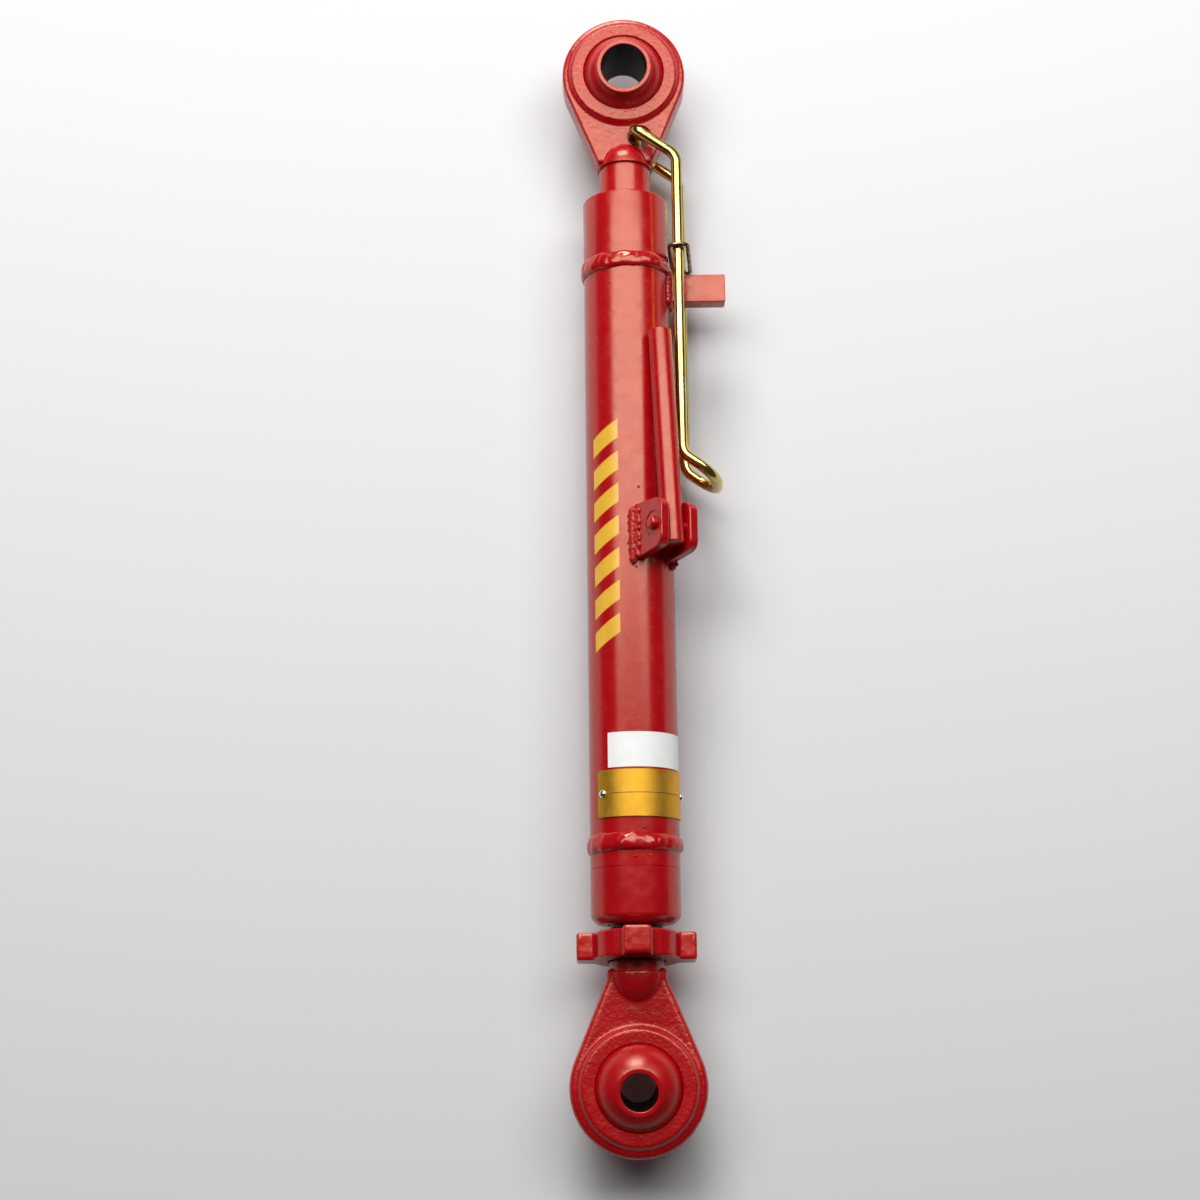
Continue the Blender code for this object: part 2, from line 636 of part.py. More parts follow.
def make_lever(material):
    """The round bar that turns the barrel, folded down so that its free end rests on the tube."""
    radius = LEVER_DIAMETER / 2
    free_length = LEVER_LENGTH - LEVER_BUTT_LENGTH
    drop = PIN_RADIAL_DISTANCE - (TUBE_RADIUS + radius + CLEARANCE)
    lean = math.asin(drop / free_length)
    pin_frame = bracket_frame() @ Matrix.Translation((0.0, 0.0, PIN_RADIAL_DISTANCE))
    frame = pin_frame @ Matrix.Rotation(-lean - math.pi / 2, 4, 'X')
    free_centre = (radius - LEVER_EDGE_ROUND, free_length - LEVER_EDGE_ROUND)
    butt_centre = (radius - LEVER_EDGE_ROUND, LEVER_EDGE_ROUND - LEVER_BUTT_LENGTH)
    free_end = arc(free_centre, LEVER_EDGE_ROUND, math.pi / 2, 0.0, EDGE_ARC_STEPS)
    butt_end = arc(butt_centre, LEVER_EDGE_ROUND, 0.0, -math.pi / 2, EDGE_ARC_STEPS)
    profile = [(0.0, free_length)] + free_end + butt_end + [(0.0, -LEVER_BUTT_LENGTH)]
    lever = turned("turning_lever", profile, frame, SMALL_ROUND_STEPS)
    hole = pin_cylinder("lever_hole", PIN_DIAMETER / 2 + CLEARANCE, 0.0, 2 * LEVER_DIAMETER)
    boolean(lever, 'DIFFERENCE', hole)
    return finish(lever, material)


def lock_nut_outline():
    """A round nut with square lobes for a hammer or spanner, its first lobe upward."""
    half = LOCK_NUT_LOBE_WIDTH / 2
    root_angle = math.asin(half / LOCK_NUT_ROOT_RADIUS)
    root_height = LOCK_NUT_ROOT_RADIUS * math.cos(root_angle)
    pitch = 2 * math.pi / LOCK_NUT_LOBES
    corners = []
    radii = []
    for lobe in range(LOCK_NUT_LOBES):
        turn = Matrix.Rotation(lobe * pitch, 4, 'Z')
        lobe_corners = [(root_height, -half), (LOCK_NUT_LOBE_RADIUS, -half), (LOCK_NUT_LOBE_RADIUS, half),
                        (root_height, half)]
        corners += [turn @ Vector((x, y, 0.0)) for x, y in lobe_corners]
        radii += [LOCK_NUT_FILLET, LOCK_NUT_CORNER_RADIUS, LOCK_NUT_CORNER_RADIUS, LOCK_NUT_FILLET]
        root = arc((0.0, 0.0), LOCK_NUT_ROOT_RADIUS, root_angle, pitch - root_angle, LOCK_NUT_ROOT_STEPS)
        inner_root = root[LOCK_NUT_FILLET_STEPS:-LOCK_NUT_FILLET_STEPS]
        corners += [turn @ Vector((x, y, 0.0)) for x, y in inner_root]
        radii += [0.0] * len(inner_root)
    return rounded_path(corners, radii, NUT_CORNER_STEPS, closed=True)


def make_lock_nut(material):
    """A loose nut, which leans on its worn thread until it is tightened."""
    middle = BARREL_END + LOCK_NUT_GAP + LOCK_NUT_THICKNESS / 2
    turn = Matrix.Rotation(math.radians(90) - LOCK_NUT_LEAN, 4, 'X')
    frame = LINK_FRAME @ Matrix.Translation((0.0, -middle, 0.0)) @ turn
    nut = plate("lock_nut", lock_nut_outline(), LOCK_NUT_THICKNESS, frame)
    bevel(nut, LOCK_NUT_EDGE_ROUND, EDGE_STEPS, 60)
    bore_radius = THREAD_BORE_RADIUS + LOCK_NUT_THICKNESS / 2 * math.tan(LOCK_NUT_LEAN)
    bore = cylinder("lock_nut_bore", bore_radius, LOCK_NUT_THICKNESS + CUT_OVERRUN, frame, ROUND_STEPS)
    boolean(nut, 'DIFFERENCE', bore)
    return finish(nut, material)


def bail_pivot():
    """Where the leaning wire rests in its hole: towards the link's axis and the ball, in the link's plane."""
    lean_room = EYE_WEB_THICKNESS / 2 * math.sin(BAIL_LEAN)
    play = (BAIL_HOLE_DIAMETER - BAIL_WIRE_DIAMETER) / 2 - CLEARANCE - lean_room
    return (BAIL_HOLE_SIDE - play * math.cos(BAIL_REST_ANGLE),
            -BAIL_HOLE_DISTANCE + play * math.sin(BAIL_REST_ANGLE))


def bail_frame():
    """At the bail's tips, Z along them: the bail leans in its oversize hole, front leg nearer the barrel."""
    place = Matrix.Translation((*bail_pivot(), 0.0))
    return LINK_FRAME @ place @ Matrix.Rotation(-BAIL_LEAN, 4, 'Y')


def make_bail(material):
    """A wire bent to a long U whose inturned tips lean in the web's hole, clear of the lug between its legs."""
    leg = BAIL_LEG_SPACING / 2
    pivot = bail_pivot()
    half_path = [(*pivot, BAIL_TIP_GAP / 2), (*pivot, leg), (BAIL_LEG_SIDE, -BAIL_UPPER_BEND_DISTANCE, leg),
                 (BAIL_LEG_SIDE, -BAIL_LOWER_BEND_DISTANCE, leg), (BAIL_END_SIDE, -BAIL_END_DISTANCE, leg)]
    half_radii = [0.0, BAIL_TIP_RADIUS, BAIL_BEND_RADIUS, BAIL_BEND_RADIUS, BAIL_LOOP_RADIUS]
    corners = half_path + [(x, y, -z) for x, y, z in reversed(half_path)]
    radii = half_radii + half_radii[::-1]
    tip = Vector((*pivot, 0.0))
    points = [Vector(point) - tip for point in rounded_path(corners, radii, CORNER_STEPS)]
    bail = wire("locking_bail", points, BAIL_WIRE_DIAMETER, BAIL_WIRE_RESOLUTION, bail_frame())
    return finish_wire(bail, material)


def finish_wire(item, material):
    """A bent wire stays a curve, so that its bends can be edited."""
    item.data.materials.append(material)
    item.hide_render = False
    item.display_type = 'TEXTURED'
    CUTTERS.objects.unlink(item)
    PARTS.objects.link(item)
    return item


def make_keeper_ring(material):
    """A flat oval ring of thin wire that holds the bail's legs together."""
    half_x = (RING_INNER_WIDTH + RING_WIRE_DIAMETER) / 2
    half_z = (BAIL_LEG_SPACING + BAIL_WIRE_DIAMETER + RING_WIRE_DIAMETER) / 2 + CLEARANCE
    corners = [(-half_x, 0.0, -half_z), (half_x, 0.0, -half_z), (half_x, 0.0, half_z), (-half_x, 0.0, half_z)]
    points = rounded_path(corners, [RING_CORNER_RADIUS] * len(corners), RING_CORNER_STEPS, closed=True)
    side, distance = bail_pivot()
    place = Matrix.Translation((BAIL_LEG_SIDE + CLEARANCE - side, -RING_DISTANCE - distance, 0.0))
    frame = bail_frame() @ place
    ring = wire("keeper_ring", points, RING_WIRE_DIAMETER, RING_WIRE_RESOLUTION, frame, closed=True)
    return finish_wire(ring, material)


def make_rating_plate(material):
    """A thin plate rolled to the tube and riveted to it."""
    inner = TUBE_RADIUS + CLEARANCE
    outer = inner + PLATE_THICKNESS
    start = math.pi / 2 - PLATE_START_ANGLE
    end = math.pi / 2 - PLATE_END_ANGLE
    steps = ROUND_STEPS // 2
    outline = arc((0.0, 0.0), outer, start, end, steps) + arc((0.0, 0.0), inner, end, start, steps)
    middle = LINK_FRAME @ Matrix.Translation((0.0, -PLATE_MIDDLE, 0.0))
    frame = middle @ Matrix.Rotation(math.pi / 2, 4, 'X')
    return finish(plate("rating_plate", outline, PLATE_HEIGHT, frame), material)


def make_rivet(name, angle, material):
    """A round-headed rivet on the plate, at its angle from the top of the tube."""
    radius = RIVET_DIAMETER / 2
    seat = TUBE_RADIUS + 2 * CLEARANCE + PLATE_THICKNESS
    sag = radius * radius / (2 * seat)
    profile = []
    for index in range(CORNER_STEPS + 1):
        turn = math.pi / 2 * index / CORNER_STEPS
        profile.append((radius * math.sin(turn), sag + RIVET_HEIGHT * math.cos(turn)))
    profile += [(radius, 0.0), (0.0, 0.0)]
    frame = LINK_FRAME @ Matrix.Translation((0.0, -PLATE_MIDDLE, 0.0)) @ Matrix.Rotation(angle, 4, 'Y')
    rivet = turned(name, profile, frame @ Matrix.Translation((0.0, 0.0, seat)), SMALL_ROUND_STEPS)
    return finish(rivet, material)


def make_link():
    enamel = new_material("red_enamel", (0.45, 0.008, 0.012), 0.0, 0.22)
    dark_enamel = new_material("red_forging", (0.42, 0.008, 0.012), 0.0, 0.32)
    weld_enamel = new_material("red_weld", (0.42, 0.008, 0.012), 0.0, 0.3)
    zinc = new_material("yellow_zinc", (0.78, 0.58, 0.22), 1.0, 0.25)
    bronze = new_material("bronze_zinc", (0.2, 0.13, 0.07), 1.0, 0.4)
    gilt = new_material("gilt_plate", (0.72, 0.55, 0.3), 1.0, 0.35)

    lower_place = LINK_FRAME @ Matrix.Translation((0.0, -LINK_LENGTH, 0.0))
    lower_frame = lower_place @ Matrix.Rotation(math.pi, 4, 'Z')
    lean = Matrix.Rotation(BALL_LEAN, 4, 'X')
    upper_nose = (UPPER_NOSE_RADIUS, UPPER_NOSE_LENGTH, True)
    lower_nose = (LOWER_NOSE_RADIUS, LOWER_NOSE_LENGTH, False)
    make_eye("upper_eye", LINK_FRAME, UPPER_EYE_RADIUS, upper_nose, UPPER_EYE_TO_BARREL, dark_enamel,
             bail_hole=True)
    make_eye("lower_eye", lower_frame, LOWER_EYE_RADIUS, lower_nose, LOWER_EYE_TO_BARREL, dark_enamel)
    upper_face_radius = UPPER_COLLAR_DIAMETER / 2
    lower_face_radius = math.sqrt(BALL_RADIUS ** 2 - (LOWER_BALL_WIDTH / 2) ** 2)
    upper_lean = LINK_FRAME @ lean
    lower_lean = lower_place @ lean
    make_ball("upper_ball", UPPER_BALL_WIDTH, UPPER_BORE_DIAMETER, upper_face_radius, upper_lean, enamel)
    make_ball("lower_ball", LOWER_BALL_WIDTH, LOWER_BORE_DIAMETER, lower_face_radius, lower_lean, enamel)

    make_tube(enamel)
    make_upper_nut(enamel)
    make_lower_nut(enamel)
    make_barrel_weld("upper_weld_bead", UPPER_WELD_DISTANCE, weld_enamel)
    make_barrel_weld("lower_weld_bead", LOWER_WELD_DISTANCE, weld_enamel)
    envelope = make_barrel_envelope()
    make_lug(envelope, enamel)
    make_lug_weld(envelope, weld_enamel)
    for side, word in ((-1, "left"), (1, "right")):
        make_ear("lever_ear_" + word, side, envelope, enamel)
        make_ear_weld("ear_weld_" + word, side, envelope, weld_enamel)
    make_pin(enamel)
    make_lever(enamel)
    make_lock_nut(dark_enamel)
    make_bail(zinc)
    make_keeper_ring(bronze)
    make_rating_plate(gilt)
    make_rivet("plate_rivet_left", PLATE_START_ANGLE + RIVET_ANGLE_INSET, gilt)
    make_rivet("plate_rivet_right", PLATE_END_ANGLE - RIVET_ANGLE_INSET, gilt)


clear_scene()
PARTS = new_collection("tractor_top_link")
CUTTERS = new_collection("cutters")
make_link()
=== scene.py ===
"""The looks of an adjustable tractor top link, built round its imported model, in metres.

Distances along the link are measured from the upper ball's centre, growing towards -Y, and angles round the
barrel from its top, growing towards +X.
"""

import json
import math
import random

import bmesh
import bpy
from mathutils import Matrix, Vector, noise

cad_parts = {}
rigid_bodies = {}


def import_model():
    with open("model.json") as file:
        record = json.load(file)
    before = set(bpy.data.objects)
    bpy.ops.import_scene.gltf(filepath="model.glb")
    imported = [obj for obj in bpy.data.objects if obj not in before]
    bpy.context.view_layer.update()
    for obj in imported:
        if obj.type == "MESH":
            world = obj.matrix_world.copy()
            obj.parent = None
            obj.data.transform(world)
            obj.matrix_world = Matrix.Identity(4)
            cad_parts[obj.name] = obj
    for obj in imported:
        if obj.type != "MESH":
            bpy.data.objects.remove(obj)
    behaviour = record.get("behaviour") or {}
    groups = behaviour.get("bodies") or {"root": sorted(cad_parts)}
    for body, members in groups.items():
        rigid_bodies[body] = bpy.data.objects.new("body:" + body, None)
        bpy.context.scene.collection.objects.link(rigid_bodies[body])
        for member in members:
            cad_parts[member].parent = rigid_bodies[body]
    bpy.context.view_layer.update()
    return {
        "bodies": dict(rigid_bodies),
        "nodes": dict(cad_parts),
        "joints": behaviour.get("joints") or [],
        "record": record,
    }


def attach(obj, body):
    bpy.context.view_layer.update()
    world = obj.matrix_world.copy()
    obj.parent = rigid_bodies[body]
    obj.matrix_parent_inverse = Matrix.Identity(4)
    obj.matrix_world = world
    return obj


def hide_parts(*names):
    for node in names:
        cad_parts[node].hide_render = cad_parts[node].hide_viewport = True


# The photograph's camera, from the middle of the link's lower ball
IMAGE_PIXELS = 1200
FOCAL_PIXELS = 2197.0
CAMERA_HEIGHT = 1.151
CAMERA_TILT = math.radians(13.01)
CAMERA_ALONG = -0.0096
LINK_TURN = math.radians(0.677)
LINK_OFFSET = 0.0198
SENSOR_WIDTH = 36.0

# The link's sizes, most of them as in its solids
CLEARANCE = 0.0003
LINK_LENGTH = 0.5588
AXIS_X = -0.0095
AXIS_Z = 0.031638
UPPER_BALL_Y = 0.2799
BALL_RADIUS = 0.025
BALL_LEAN = math.radians(6.5)
BORE_EDGE_ROUND = 0.0006
UPPER_BORE_DIAMETER = 0.0254
UPPER_BALL_WIDTH = 0.051
UPPER_COLLAR_DIAMETER = 0.0304
COLLAR_FILLET = 0.0022
COLLAR_SINK_ANGLE = 0.02
FILLET_END_ANGLE = 0.05
# The near-black skin inside the ball bores is painted shade, standing for the dark of the deep bores
BORE_SHADE_THICKNESS = 0.00005
BORE_SHADE_ROOT = 0.0002
BORE_SHADE_INSET = 0.0012
LOWER_BORE_DIAMETER = 0.019
LOWER_BALL_WIDTH = 0.044
UPPER_EYE_RADIUS = 0.0346
LOWER_EYE_RADIUS = 0.0356
EYE_WEB_THICKNESS = 0.019
EYE_RING_DIAMETER = 0.058
EYE_RING_WIDTH = 0.025
EYE_RING_SLOPE = 0.0027
UPPER_EYE_EDGE_ROUND = 0.0022
LOWER_EYE_EDGE_ROUND = 0.0036
SEAT_LIP = 0.0007
EYE_TAPER = math.radians(22.5)
EYE_NECK_LENGTH = 0.0535
SKIN_ALLOWANCE = 0.00012
NOSE_TIP_DISTANCE = 0.0390
UPPER_NOSE_RADIUS = 0.0152
UPPER_NOSE_LENGTH = 0.0156
LOWER_NOSE_RADIUS = 0.0158
LOWER_NOSE_LENGTH = 0.0198
NOSE_GROOVE_WIDTH = 0.0017
NOSE_GROOVE_DEPTH = 0.0018
LOWER_SHOULDER_HALF = 0.0157
LOWER_SHOULDER_END = 0.0606
SHOULDER_FILLET = 0.007
SHOULDER_CORNER = 0.0030
SHANK_RADIUS = 0.0143
SHANK_ENGAGEMENT = 0.150
THREAD_PITCH = 0.0035
THREAD_DEPTH = 0.0019
THREAD_FLANK = 1.6
THREAD_FLAT = 0.3
THREAD_END_TAPER = 0.12
BAIL_HOLE_RADIUS = 0.0069
BAIL_HOLE_SIDE = 0.0086
BAIL_HOLE_DISTANCE = 0.0380
TUBE_RADIUS = 0.0235
TUBE_WALL = 0.0045
UPPER_EYE_TO_BARREL = 0.075
LOWER_EYE_TO_BARREL = 0.083
END_NUT_LENGTH = 0.041
SPIGOT_LENGTH = 0.012
NUT_TOP_ROUND = 0.0012
NUT_BOTTOM_CHAMFER = 0.0034
NUT_BOTTOM_ROUND = 0.0034
NUT_GROOVE_DISTANCE = 0.0284
NUT_GROOVE_DEPTH = 0.0005
WELD_NARROW = 0.0040
WELD_WIDE = 0.0050
WELD_CROWN = 0.0020
WELD_ROOT = 0.0008
WELD_TOE = 0.0001
LUG_DISTANCE = 0.1268
LUG_LENGTH = 0.016
LUG_THICKNESS = 0.010
LUG_REACH = 0.0546
LUG_CORNER_RADIUS = 0.0011
LUG_EDGE_ROUND = 0.0005
LUG_WELD_RADIUS = 0.0023
LUG_WELD_CHANGE = 0.0004
LUG_WELD_OFFSET = 0.0008
LUG_WELD_LIFT = 0.0002
LEVER_DIRECTION = math.radians(35.0)
LEVER_RADIUS = 0.00625
LEVER_LENGTH = 0.1212
LEVER_BUTT_LENGTH = 0.0097
LEVER_EDGE_ROUND = 0.0008
PIN_DISTANCE = 0.2698
PIN_RADIAL_DISTANCE = 0.0376
PIN_RADIUS = 0.0035
PIN_PROUD = 0.0028
EAR_GAP = 0.0135
EAR_THICKNESS = 0.0055
EAR_WELD_START = 0.0102
EAR_WELD_LENGTH = 0.0268
EAR_WELD_FOOT = 0.0024
EAR_WELD_CLIMB = 0.0062
EAR_WELD_DROPS = 120
EAR_WELD_SINK = 0.0008
EAR_WELD_SMALL = (0.0008, 0.0014)
EAR_WELD_LARGE = (0.0020, 0.0025)
EAR_WELD_LARGE_OFFSET = 0.0004
EAR_WELD_LARGE_LIFT = 0.0006
LOCK_NUT_THICKNESS = 0.0143
LOCK_NUT_GAP = 0.0047
LOCK_NUT_ROOT_RADIUS = 0.0236
LOCK_NUT_LOBE_RADIUS = 0.0312
LOCK_NUT_LOBE_WIDTH = 0.0146
LOCK_NUT_CORNER_RADIUS = 0.0018
LOCK_NUT_FILLET = 0.0018
LOCK_NUT_EDGE_ROUND = 0.0011
LOCK_NUT_LOBES = 4
LOCK_NUT_LEAN = math.radians(5.0)
BAIL_WIRE_RADIUS = 0.003
BAIL_LEG_SPACING = 0.036
BAIL_LEG_SIDE = 0.0298
BAIL_LEAN = math.radians(4.5)
BAIL_REST_ANGLE = math.radians(35.0)
BAIL_UPPER_BEND_DISTANCE = 0.0541
BAIL_LOWER_BEND_DISTANCE = 0.2259
BAIL_END_SIDE = 0.0478
BAIL_END_DISTANCE = 0.2393
BAIL_TIP_GAP = 0.005
BAIL_TIP_RADIUS = 0.0055
BAIL_BEND_RADIUS = 0.009
BAIL_LOOP_RADIUS = 0.0135
RING_WIRE_RADIUS = 0.0012
RING_DISTANCE = 0.1086
RING_INNER_WIDTH = 0.0076
RING_CORNER_RADIUS = 0.0036
PLATE_TO_BARREL_END = 0.0539
PLATE_HEIGHT = 0.0245
PLATE_THICKNESS = 0.0005
PLATE_LINE_WIDTH = 0.00035
PLATE_LINE_MARGIN = 0.13
PLATE_START_ANGLE = math.radians(-52.0)
PLATE_END_ANGLE = math.radians(96.0)
PLATE_CORNER_RADIUS = 0.0016
RIVET_RADIUS = 0.00215
RIVET_HEIGHT = 0.0012
RIVET_ANGLE_INSET = math.radians(9.0)

# Films on the barrel
LABEL_START_ANGLE = math.radians(-35.5)
LABEL_END_ANGLE = math.radians(100.0)
LABEL_START = 0.3778
LABEL_END = 0.3962
LABEL_THICKNESS = 0.00015
LABEL_CORNER_RADIUS = 0.0006
BARS_START_ANGLE = math.radians(-55.0)
BARS_END_ANGLE = math.radians(-15.5)
BARS_START = 0.2075
BAR_LENGTH = 0.0105
BAR_PITCH = 0.0178
BAR_SLANT = 0.0095
BAR_COUNT = 7
FILM_THICKNESS = 0.00008

# Drops of weld spatter: angle round the barrel in degrees, distance along the link, and radius
SPATTER = [(5.0, 0.2570, 0.0010), (8.5, 0.2560, 0.0008), (1.5, 0.2580, 0.0008), (2.5, 0.2882, 0.0010),
           (6.5, 0.2896, 0.0007), (11.0, 0.2457, 0.0008), (11.7, 0.4276, 0.0007), (18.9, 0.4420, 0.0007),
           (0.0, 0.4425, 0.0007), (-24.0, 0.1290, 0.0006)]

# Lumps of the weld beads: angle, half width as an angle, extra height and extra width
UPPER_BEAD_LUMPS = [(math.radians(36), math.radians(10), 0.0008, 0.0012)]
LOWER_BEAD_LUMPS = [(math.radians(-10), math.radians(14), 0.0003, 0.0004)]

# Unevenness of the weld beads
BEAD_NOISE_SCALE = 3.4
BEAD_SWELL = 0.30
BEAD_WANDER = 0.0006
BEAD_WIDTH_CHANGE = 0.08
BEAD_LEAN = 0.22
BEAD_ROUNDNESS = 0.6
RIPPLE_PITCH = 0.0064
RIPPLE_DEPTH = 0.00016
RIPPLE_SKEW = 0.05
RIPPLE_BOW = 0.45
RIPPLE_STRAY = 0.35

# Rough skins: height, feature size and, where it is fixed, seed
FORGING_SKIN = (0.00008, 0.0021, 5.0)
NUT_SKIN = (0.00006, 0.0034, 2.0)
BEAD_SKIN = (0.00022, 0.0032)
EAR_WELD_SKIN = (0.00022, 0.0009)
LUG_WELD_SKIN = (0.00016, 0.0012, 9.0)

# Paint
PAINT_RED = (0.41, 0.0006, 0.0055)
PAINT_DEEP = (0.37, 0.0005, 0.0050)
PAINT_DUST = (0.09, 0.004, 0.006)
PAINT_TINT = (1.0, 0.76, 0.54)
PAINT_IOR = 1.72

# Lights and floor
PANEL_SIZE = (2.65, 0.86)
PANEL_PLACE = (0.0, 0.735, 1.5)
PANEL_TARGET = (0.0, 0.735, 0.0)
PANEL_POWER = 38.5
WALL_SIZE = (1.7, 1.0)
WALL_PLACE = (-0.4, 3.2, 1.9)
WALL_POWER = 88.0
ROOM_STRENGTH = 0.04
FLOOR_REACH = 6.0

# Fineness of the meshes
ROUND_STEPS = 160
SMALL_STEPS = 48
ROD_STEPS = 96
FINE_STEPS = 128
ARC_STEPS = 8
EDGE_STEPS = 4
SHEET_STEPS = 60
THREAD_STEPS = 64
THREAD_RINGS = 9
BEAD_STEPS = 480
BEAD_SECTION = 22
FORGING_VOXEL = 0.00055
WELD_VOXEL = 0.0004
UPPER_SMOOTHING = 8
LOWER_SMOOTHING = 12
NUT_SMOOTHING = 4

BARREL_START = UPPER_EYE_TO_BARREL
BARREL_END = LINK_LENGTH - LOWER_EYE_TO_BARREL
UPPER_WELD_DISTANCE = BARREL_START + END_NUT_LENGTH
LOWER_WELD_DISTANCE = BARREL_END - END_NUT_LENGTH
PLATE_MIDDLE = BARREL_END - PLATE_TO_BARREL_END - PLATE_HEIGHT / 2
LINK_FRAME = Matrix.Translation((AXIS_X, UPPER_BALL_Y, AXIS_Z))
ALONG = Matrix.Rotation(math.radians(-90), 4, 'X')
ACROSS = Matrix.Rotation(math.radians(90), 4, 'Y')


def along_link(distance):
    return LINK_FRAME @ Matrix.Translation((0.0, -distance, 0.0))


LOWER_PLACE = along_link(LINK_LENGTH)
BRACKET_FRAME = along_link(PIN_DISTANCE) @ Matrix.Rotation(LEVER_DIRECTION, 4, 'Y')


def shader_material(name, colour, roughness, metallic=0.0, ior=1.5):
    """A material with one Principled shader."""
    material = bpy.data.materials.new(name)
    material.use_nodes = True
    shader = material.node_tree.nodes["Principled BSDF"]
    shader.inputs["Base Color"].default_value = (*colour, 1.0)
    shader.inputs["Metallic"].default_value = metallic
    shader.inputs["Roughness"].default_value = roughness
    shader.inputs["IOR"].default_value = ior
    return material


def add_noise(material, scale, detail=3.0, stretch=(1.0, 1.0, 1.0)):
    """A noise texture in the object's own space, in cycles a metre."""
    nodes, links = material.node_tree.nodes, material.node_tree.links
    place = nodes.new("ShaderNodeTexCoord")
    mapping = nodes.new("ShaderNodeMapping")
    mapping.inputs["Scale"].default_value = stretch
    texture = nodes.new("ShaderNodeTexNoise")
    texture.inputs["Scale"].default_value = scale
    texture.inputs["Detail"].default_value = detail
    links.new(place.outputs["Object"], mapping.inputs["Vector"])
    links.new(mapping.outputs["Vector"], texture.inputs["Vector"])
    return texture.outputs["Fac"]


def add_ramp(material, factor, low, high, low_colour, high_colour):
    nodes, links = material.node_tree.nodes, material.node_tree.links
    ramp = nodes.new("ShaderNodeValToRGB")
    ramp.color_ramp.elements[0].position = low
    ramp.color_ramp.elements[0].color = (*low_colour, 1.0)
    ramp.color_ramp.elements[1].position = high
    ramp.color_ramp.elements[1].color = (*high_colour, 1.0)
    links.new(factor, ramp.inputs["Fac"])
    return ramp.outputs["Color"]


def mix_colours(material, factor, first, second):
    nodes, links = material.node_tree.nodes, material.node_tree.links
    mix = nodes.new("ShaderNodeMix")
    mix.data_type = 'RGBA'
    links.new(factor, mix.inputs["Factor"])
    for socket, value in ((mix.inputs[6], first), (mix.inputs[7], second)):
        if isinstance(value, tuple):
            socket.default_value = (*value, 1.0)
        else:
            links.new(value, socket)
    return mix.outputs[2]


def bump(material, height, distance, strength=1.0, before=None):
    nodes, links = material.node_tree.nodes, material.node_tree.links
    node = nodes.new("ShaderNodeBump")
    node.inputs["Distance"].default_value = distance
    node.inputs["Strength"].default_value = strength
    links.new(height, node.inputs["Height"])
    if before is not None:
        links.new(before, node.inputs["Normal"])
    return node.outputs["Normal"]


def set_socket(material, name, value):
    shader = material.node_tree.nodes["Principled BSDF"]
    material.node_tree.links.new(value, shader.inputs[name])


def vary_roughness(material, scale, low, high):
    grey = add_ramp(material, add_noise(material, scale), 0.35, 0.7, (low,) * 3, (high,) * 3)
    set_socket(material, "Roughness", grey)


def mottled(name, colour, roughness, scale, low_colour, high_colour, ior=1.5):
    """A plain surface with a slight change of tone."""
    material = shader_material(name, colour, roughness, ior=ior)
    tone = add_ramp(material, add_noise(material, scale), 0.3, 0.7, low_colour, high_colour)
    set_socket(material, "Base Color", tone)
    return material


def enamel(name, roughness, coarse, fine, hammered=0.0, colour=PAINT_RED, deep=PAINT_DEEP):
    """Glossy paint: a slow change of tone, orange peel and dust pits.

    The values coarse, fine and hammered are bump heights.
    """
    material = shader_material(name, colour, roughness, ior=PAINT_IOR)
    tone = add_ramp(material, add_noise(material, 70.0, 4.0), 0.35, 0.65, deep, colour)
    dust = add_noise(material, 520.0, 2.0)
    specks = add_ramp(material, dust, 0.745, 0.765, (0.0, 0.0, 0.0), (1.0, 1.0, 1.0))
    shader = material.node_tree.nodes["Principled BSDF"]
    shader.inputs["Specular Tint"].default_value = (*PAINT_TINT, 1.0)
    set_socket(material, "Base Color", mix_colours(material, specks, tone, PAINT_DUST))
    peel = bump(material, add_noise(material, 240.0, 2.0), coarse)
    if hammered:
        peel = bump(material, add_noise(material, 620.0, 2.0, (1.0, 1.5, 1.0)), hammered, before=peel)
    grain = bump(material, add_noise(material, 1300.0, 3.0), fine, before=peel)
    set_socket(material, "Normal", bump(material, dust, 0.00012, 0.04, before=grain))
    vary_roughness(material, 160.0, roughness * 0.85, roughness * 1.2)
    return material


def plated_metal(name, colour, dark, roughness, streak, patch_scale, drawn=0.5, uneven=1.0):
    """Plated wire or sheet: drawn streaks along the link, and patches of another tone and shine; on the
    bail's wire the darker patches are partly painted reflection.
    """
    material = shader_material(name, colour, roughness, metallic=1.0)
    patches = add_ramp(material, add_noise(material, patch_scale, 3.0), 0.40, 0.62, dark, colour)
    set_socket(material, "Base Color", patches)
    lines = add_noise(material, streak, 2.0, (1.0, 0.03, 1.0))
    set_socket(material, "Normal", bump(material, lines, 0.00006, drawn))
    vary_roughness(material, 300.0, roughness * (1 - 0.2 * uneven), roughness * (1 + 0.35 * uneven))
    return material


def new_object(name, data):
    item = bpy.data.objects.new(name, data)
    bpy.context.scene.collection.objects.link(item)
    return item


def add_piece(name, mesh, material, body, nodes=(), sharp=40.0):
    """Puts a finished mesh in the scene, riding on its body, in place of the nodes that it stands for."""
    piece = new_object(name, mesh)
    mesh.name = name
    mesh.materials.clear()
    mesh.materials.append(material)
    mesh.shade_smooth()
    mesh.set_sharp_from_angle(angle=math.radians(sharp))
    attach(piece, body)
    if nodes:
        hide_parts(*nodes)


def make_mesh(points, faces, place=None):
    mesh = bpy.data.meshes.new("mesh")
    mesh.from_pydata(points, [], faces)
    if place is not None:
        mesh.transform(place)
    shape = bmesh.new()
    shape.from_mesh(mesh)
    bmesh.ops.recalc_face_normals(shape, faces=shape.faces)
    shape.to_mesh(mesh)
    shape.free()
    return mesh


